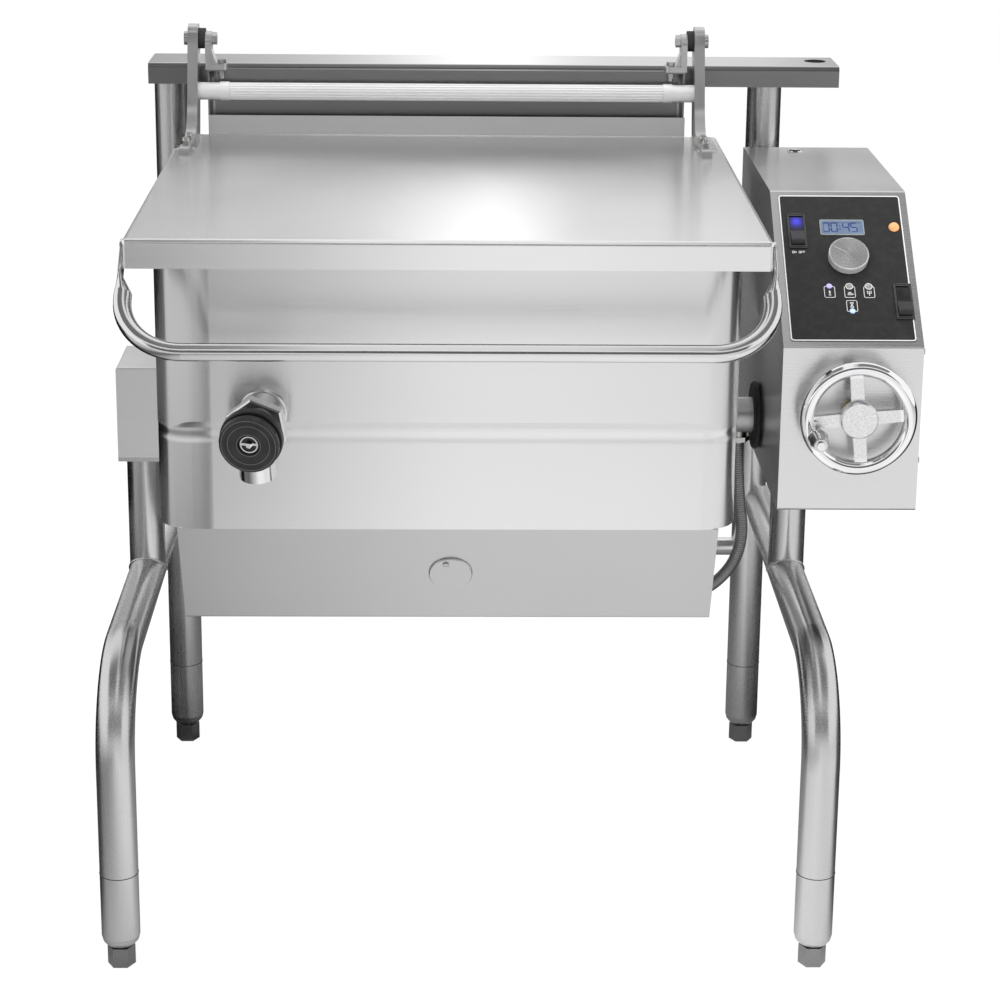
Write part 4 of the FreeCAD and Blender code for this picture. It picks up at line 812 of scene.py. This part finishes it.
def panelPrinting(look):
    u0, u1, v0, v1, radius, width = look["border"]
    parts = [panelStroke(roundedLoop(u0, u1, v0, v1, radius, 12), width, look)]
    for box in look["frames"]:
        parts.append(panelStroke(roundedLoop(*box, look["frameCorner"]), look["frameLine"], look))
    for at in look["rings"]:
        ring = circleProfile(look["ringRadius"], 24) + at
        parts.append(panelStroke(ring, look["ringLine"], look))
    for stroke in look["symbols"]:
        parts.append(panelStroke(np.array(stroke, float), look["symbolLine"], look, False))
    for text, u, v, height in look["words"]:
        for stroke in letterStrokes(text, u, v, height, look):
            parts.append(panelStroke(stroke, look["letterLine"], look, False))
    meshPiece("panel_printing", parts, whiteInkPaintedGlow, "frame", smooth=False)


panelPrinting(printing)


# Display digits

digits = {
    "text": "00:45",
    "left": 68.0, "top": 56.0,          # millimetres on the panel
    "width": 8.0, "height": 15.0, "pitch": 11.0, "colon": 5.0,
    "stroke": 1.7, "low": 1.1, "high": 1.35,
    "mitre": 0.35,                      # each segment ends short by this share of its stroke
    "dots": (0.3, 0.7), "dotFrom": -0.2, "dotTo": 1.6, "dotLine": 1.8,
}
segmentEnds = {
    "top": ((0, 0), (1, 0)), "middle": ((0, 0.5), (1, 0.5)), "bottom": ((0, 1), (1, 1)),
    "upperLeft": ((0, 0), (0, 0.5)), "lowerLeft": ((0, 0.5), (0, 1)),
    "upperRight": ((1, 0), (1, 0.5)), "lowerRight": ((1, 0.5), (1, 1)),
}
digitSegments = {
    "0": ("top", "bottom", "upperLeft", "lowerLeft", "upperRight", "lowerRight"),
    "4": ("upperLeft", "middle", "upperRight", "lowerRight"),
    "5": ("top", "upperLeft", "middle", "lowerRight", "bottom"),
}


def displayDigits(look):
    parts, left = [], look["left"]
    for mark in look["text"]:
        if mark == ":":
            for down in look["dots"]:
                v = look["top"] + down * look["height"]
                dot = np.array([(left + look["dotFrom"], v), (left + look["dotTo"], v)])
                parts.append(panelStroke(dot, look["dotLine"], look, False))
            left += look["colon"]
            continue
        for name in digitSegments[mark]:
            ends = np.array(segmentEnds[name], float)
            ends = ends * (look["width"], look["height"]) + (left, look["top"])
            run = ends[1] - ends[0]
            inset = run / np.linalg.norm(run) * look["stroke"] * look["mitre"]
            line = np.stack([ends[0] + inset, ends[1] - inset])
            parts.append(panelStroke(line, look["stroke"], look, False))
        left += look["pitch"]
    meshPiece("display_digits", parts, digitInk, "frame", smooth=False)


displayDigits(digits)
print("panel printed")


# Weld beads where the tubes meet

tubeRadius = 25.4 * mm
welds = {"bead": 2.4 * mm, "ripple": 0.12, "ripples": 56, "points": 224}


def weldLoop(path, up, look):
    # round bead whose radius swells as 1 + ripple cos(turn)
    turn = np.linspace(0, 2 * np.pi * look["ripples"], len(path), endpoint=False)
    return sweep(path, circleProfile(look["bead"], 10), up, True,
                 1 + look["ripple"] * np.cos(turn))


def saddlePath(x, y, axisZ, radius, count):
    # where an upright tube lands on a level tube of the same radius along Y: r |sin a| above
    # the level axis at angle a round the upright
    angle = np.linspace(0, 2 * np.pi, count, endpoint=False)
    return np.stack([x + radius * np.cos(angle), y + radius * np.sin(angle),
                     axisZ + radius * np.abs(np.sin(angle))], -1)


def postWelds(look):
    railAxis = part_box(sideTubes[1])[1].z - tubeRadius
    postY = boxMiddle("middle_posts").y
    parts = []
    for rail in sideTubes:
        path = saddlePath(boxMiddle(rail).x, postY, railAxis, tubeRadius, look["points"])
        parts.append(weldLoop(path, (0, 0, 1), look))
    meshPiece("post_welds", parts, tubeSteel, "frame")


postWelds(welds)


# Painted shadow in the seams between the legs and their feet

seamShadowLines = {"height": 132 * mm, "line": 0.55 * mm, "points": 48}


def ringPath(centre, axis, radius, count):
    # centre + r (cos a first + sin a second), first and second square to the axis
    axis = np.asarray(axis, float)
    first = np.cross(axis, (0.0, 0.0, 1.0) if abs(axis[2]) < 0.9 else (1.0, 0.0, 0.0))
    first /= np.linalg.norm(first)
    second = np.cross(axis, first)
    angle = np.linspace(0, 2 * np.pi, count, endpoint=False)[:, None]
    return np.asarray(centre, float) + radius * (np.cos(angle) * first + np.sin(angle) * second)


def hoop(centre, axis, radius, thick, count=96):
    # round bar of radius thick bent into a ring about the axis
    return sweep(ringPath(centre, axis, radius, count), circleProfile(thick, 8), axis, True)


def legSeamShadows(look):
    # a thin black ring round each leg at its seam: painted shadow of the joint
    parts = []
    for foot in feet:
        centre = (boxMiddle(foot).x, boxMiddle(foot).y, look["height"])
        parts.append(hoop(centre, (0, 0, 1), tubeRadius, look["line"], look["points"]))
    meshPiece("leg_seam_shadows", parts, seamShadow, "frame")


legSeamShadows(seamShadowLines)


# Valve trim: weld where the spigot leaves the pan, and the nut behind the bonnet

def valveTrim(look):
    weld = hoop(valveStart + valveOut * look["weldAt"], valveOut, look["spigot"], look["weld"])
    meshPiece("valve_weld", [weld], chrome, "pan")
    # nut: six flats, corner radius = across / sqrt(3), its edges broken by a small step in
    corner = look["nutAcross"] / math.sqrt(3)
    begin, end, edge, size = (look[key] for key in ("nutFrom", "nutTo", "nutEdge", "nutEdgeSize"))
    steps = ((begin, size), (begin + edge, 1.0), (end - edge, 1.0), (end, size))
    rings = [valveStart + valveOut * t for t, size in steps]
    angle = np.radians(look["nutTurn"]) + np.arange(6) * np.pi / 3
    shape = np.stack([corner * np.cos(angle), corner * np.sin(angle)], -1)
    side = np.cross(valveOut, (0.0, 0.0, 1.0))
    nut = sweep(rings, shape, tuple(side), False, [size for t, size in steps])
    meshPiece("valve_nut", [nut], chrome, "pan", smooth=False)
    # raised rings on the knob's face, lighter than the knob: painted highlights along its bevel
    # and rings
    rings = [hoop(valveStart + valveOut * out, valveOut, radius, look["knobRingLine"])
             for radius, out in look["knobRings"]]
    meshPiece("knob_ring_highlights", rings, edgeHighlight, "valve_knob")


valveTrim(valve)


# Bezel round the display

bezel = {"box": (64.2, 122.8, 51.6, 75.9), "corner": 1.2, "line": 1.5, "low": 0.9, "high": 1.9}


def displayBezel(look):
    loop = roundedLoop(*look["box"], look["corner"], 6)
    part = panelStroke(loop, look["line"], look)
    meshPiece("display_bezel", [part], bezelInk, "frame", smooth=False)


displayBezel(bezel)


# Painted highlights along the edges of the two switch frames

switchEdgeHighlights = {
    "places": ((31.6, 70.5), (166.0, 188.0)),
    "outer": (11.6, 28.6, 1.6), "inner": (10.2, 25.6, 0.8),   # half width, half length, corner
    "line": 0.6, "low": 2.6, "high": 2.95,
}


def rockerEdgeHighlights(look):
    parts = []
    for u, v in look["places"]:
        for wide, long, corner in (look["outer"], look["inner"]):
            loop = roundedLoop(u - wide, u + wide, v - long, v + long, corner, 6)
            parts.append(panelStroke(loop, look["line"], look))
    meshPiece("switch_edge_highlights", parts, edgeHighlight, "frame", smooth=False)


rockerEdgeHighlights(switchEdgeHighlights)


# Flexible heater lead, corrugated: from the gland under the heater box to the right trunnion

lead = {
    "route": ((230.5, 138.05, 454.0), (230.5, 138.05, 359.0), (289.5, 103.05, 359.0),
              (344.5, 78.05, 437.0), (328.5, 78.05, 547.0), (328.5, 78.05, 603.0)),
    "radius": 8.8 * mm,
    "length": 0.400,
    "pitch": 3.4 * mm, "depth": 0.045, "perRipple": 6, "around": 20,
    "side": (0.35, 0.94, 0.0),     # a direction across the route all the way
}


def splinePoints(route):
    # points along a NURBS spline whose control points are the route
    curve = bpy.data.curves.new("leadRoute", "CURVE")
    curve.dimensions = "3D"
    curve.resolution_u = 48
    spline = curve.splines.new("NURBS")
    spline.points.add(len(route) - 1)
    for point, place in zip(spline.points, route):
        point.co = (*[x * mm for x in place], 1.0)
    spline.order_u = 3
    spline.use_endpoint_u = True
    holder = bpy.data.objects.new("leadRoute", curve)
    mesh = bpy.data.meshes.new_from_object(holder)
    line = np.array([v.co[:] for v in mesh.vertices])
    bpy.data.objects.remove(holder)
    bpy.data.curves.remove(curve)
    bpy.data.meshes.remove(mesh)
    return line


def heaterLead(look):
    line = splinePoints(look["route"])
    steps = np.linalg.norm(np.diff(line, axis=0), axis=1)
    along = np.concatenate([[0.0], np.cumsum(steps)])
    ripples = int(along[-1] / look["pitch"])
    even = np.linspace(0, along[-1], ripples * look["perRipple"] + 1)
    path = np.stack([np.interp(even, along, line[:, k]) for k in range(3)], -1)
    # radius swells as 1 - depth + depth cos(2 pi s / pitch)
    wave = np.cos(2 * np.pi * ripples * even / along[-1])
    sleeve = sweep(path, circleProfile(look["radius"], look["around"]), look["side"], False,
                   1 - look["depth"] + look["depth"] * wave)
    piece = meshPiece("heater_lead", [sleeve], leadSleeve, "pan")
    # the ripple attribute runs from 0 in the grooves to 1 on the crests, for the sleeve's painted
    # groove shade
    band = piece.data.attributes.new("ripple", "FLOAT", "POINT")
    band.data.foreach_set("value", np.repeat(0.5 + 0.5 * wave, look["around"]))
    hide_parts("heater_conduit")
    print("heater lead measures", round(float(along[-1]), 4), "m")


heaterLead(lead)


# Studio: pale floor, soft lights, dark cards overhead and a floor that metal sees bright
# only in front, which gives the tubes their dark edges

studio = {
    "floor": 14.0,
    "floorColour": (0.85, 0.85, 0.85),
    "seenWhite": 0.84,         # share of plain white in the floor as the camera sees it
    "seenLevel": 1.10,
    "glossRun": ((-6.0, 0.95), (-1.0, 1.05), (-0.36, 1.0), (-0.27, 0.72), (-0.12, 0.40),
                 (0.4, 0.22), (1.2, 0.14), (6.0, 0.25)),   # y, tone of the floor in metal
    "glossSide": ((-6.0, 0.5), (-2.6, 0.62), (-1.7, 0.20), (-1.15, 0.14), (-0.85, 0.36),
                  (-0.10, 1.0), (0.25, 1.0), (0.68, 0.84), (1.0, 0.95), (1.6, 0.95),
                  (2.3, 0.75), (6.0, 0.5)),   # x, tone
    "nearSide": (0.40, 0.50, -0.20, -0.42),  # legs: the lane is this narrow up to these y
    "nearDark": 0.82,
    "ambient": 0.62,
    "aim": (0.0, 0.0, 0.6),    # where the lamps point
    "lamps": (                 # place, size, watts
        ((-2.6, -3.4, 3.4), 2.2, 75),
        ((3.4, -2.2, 2.6), 1.8, 42),
        ((0.0, 0.9, 3.9), 2.4, 50),
    ),
    "cards": (                 # upright cards: ends x and y, foot, top, tones along x
        ((-4.0, -4.4), (4.0, -4.4), 1.35, 3.9, ((-4.0, 0.14), (4.0, 0.14))),
        ((-3.0, 3.2), (3.0, 3.2), 0.7, 2.6,
         ((-3.0, 0.35), (-0.95, 0.40), (-0.5, 0.60), (-0.3, 0.84), (-0.18, 1.15), (0.04, 1.7),
          (0.26, 0.92), (0.75, 0.84), (0.95, 0.42), (3.0, 0.30))),
    ),
    "ceiling": (-3.2, 0.6, 4.2,                # front, rear, height, tones along x
                ((-4.0, 0.15), (-0.64, 0.20), (-0.42, 0.90), (0.28, 0.92), (0.42, 0.70),
                 (0.62, 0.62), (0.85, 0.22), (4.0, 0.2))),
}


def flatPiece(name, corners, material):
    mesh = bpy.data.meshes.new(name)
    mesh.from_pydata([tuple(c) for c in corners], [], [(0, 1, 2, 3)])
    mesh.materials.append(material)
    piece = bpy.data.objects.new(name, mesh)
    scene.collection.objects.link(piece)
    return piece


def floorMaterial(look):
    m = Shades("studio floor")
    mottled = m.noise(m.place, 3.0, 2.0, 0.5)
    tone = m.tint(m.spread(mottled, 0.0, 1.0), look["floorColour"], 0.98)
    m.put(Base_Color=tone, Roughness=0.9)
    rays = m.node("ShaderNodeLightPath").outputs
    camera, glossy = rays["Is Camera Ray"], rays["Is Glossy Ray"]
    seen = m.times(m.larger(camera, rays["Is Transmission Ray"]), look["seenWhite"])
    # tone seen in metal = run(y) x side(x) x near, where near closes the lane beside the
    # legs: near = 1 for |x| under the first width or y ahead of the legs
    lane = m.stops(m.axis("Y"), look["glossRun"])
    tone = m.times(lane, m.stops(m.axis("X"), look["glossSide"]))
    inner, outer, rear, front = look["nearSide"]
    legs = m.spread(m.maths("ABSOLUTE", m.axis("X")), 0.0, 1.0, inner, outer)
    beside = m.spread(m.axis("Y"), 0.0, look["nearDark"], front, rear)
    tone = m.times(tone, m.minus(1.0, m.times(legs, beside)))
    level = m.larger(m.times(camera, look["seenLevel"]), m.times(tone, glossy))
    white = m.node("ShaderNodeEmission", {"Color": (1, 1, 1, 1), "Strength": level})
    blend = m.node("ShaderNodeMixShader", {0: m.larger(seen, glossy), 1: m.shader.outputs[0],
                                           2: white.outputs[0]})
    m.join(blend.outputs[0], m.tree.nodes["Material Output"].inputs["Surface"])
    return m.material


def cardMaterial(tones):
    m = Shades("studio card")
    level = m.stops(m.axis("X"), tones)
    m.put(Base_Color=(0.0, 0.0, 0.0, 1.0), Roughness=1.0, Specular_IOR_Level=0.0,
          Emission_Color=(1.0, 1.0, 1.0, 1.0), Emission_Strength=level)
    return m.material


def makeStudio(look):
    half = look["floor"]
    flatPiece("studio_floor", [(-half, -half, 0), (half, -half, 0), (half, half, 0),
                               (-half, half, 0)], floorMaterial(look))
    front, rear, height, tones = look["ceiling"]
    left, right = tones[0][0], tones[-1][0]
    cards = [([(left, front, height), (right, front, height), (right, rear, height),
               (left, rear, height)], tones)]
    for left, right, foot, top, tones in look["cards"]:
        cards.append(([(*left, foot), (*right, foot), (*right, top), (*left, top)], tones))
    for number, (corners, tones) in enumerate(cards):
        card = flatPiece("studio_card_%d" % number, corners, cardMaterial(tones))
        card.visible_camera = False
        card.visible_shadow = False
        card.visible_diffuse = False
    # world: white to the camera and in metal and glass, an even level on everything else
    scene.world = bpy.data.worlds.new("studio")
    w = ShaderTree(scene.world)
    rays = w.node("ShaderNodeLightPath").outputs
    clear = w.larger(w.larger(rays["Is Camera Ray"], rays["Is Glossy Ray"]),
                     rays["Is Transmission Ray"])
    light = w.tree.nodes["Background"].inputs
    w.join(w.spread(clear, look["ambient"], 1.0, 0.0, 1.0), light["Strength"])
    w.join((1, 1, 1, 1), light["Color"])
    for number, (place, size, watts) in enumerate(look["lamps"]):
        data = bpy.data.lights.new("lamp_%d" % number, "AREA")
        data.size, data.energy = size, watts
        lamp = bpy.data.objects.new("lamp_%d" % number, data)
        lamp.visible_glossy = False
        aim = Vector(look["aim"]) - Vector(place)
        lamp.matrix_world = (Matrix.Translation(place)
                             @ aim.to_track_quat("-Z", "Y").to_matrix().to_4x4())
        scene.collection.objects.link(lamp)


makeStudio(studio)
scene.view_settings.view_transform = "Standard"
print("studio ready")
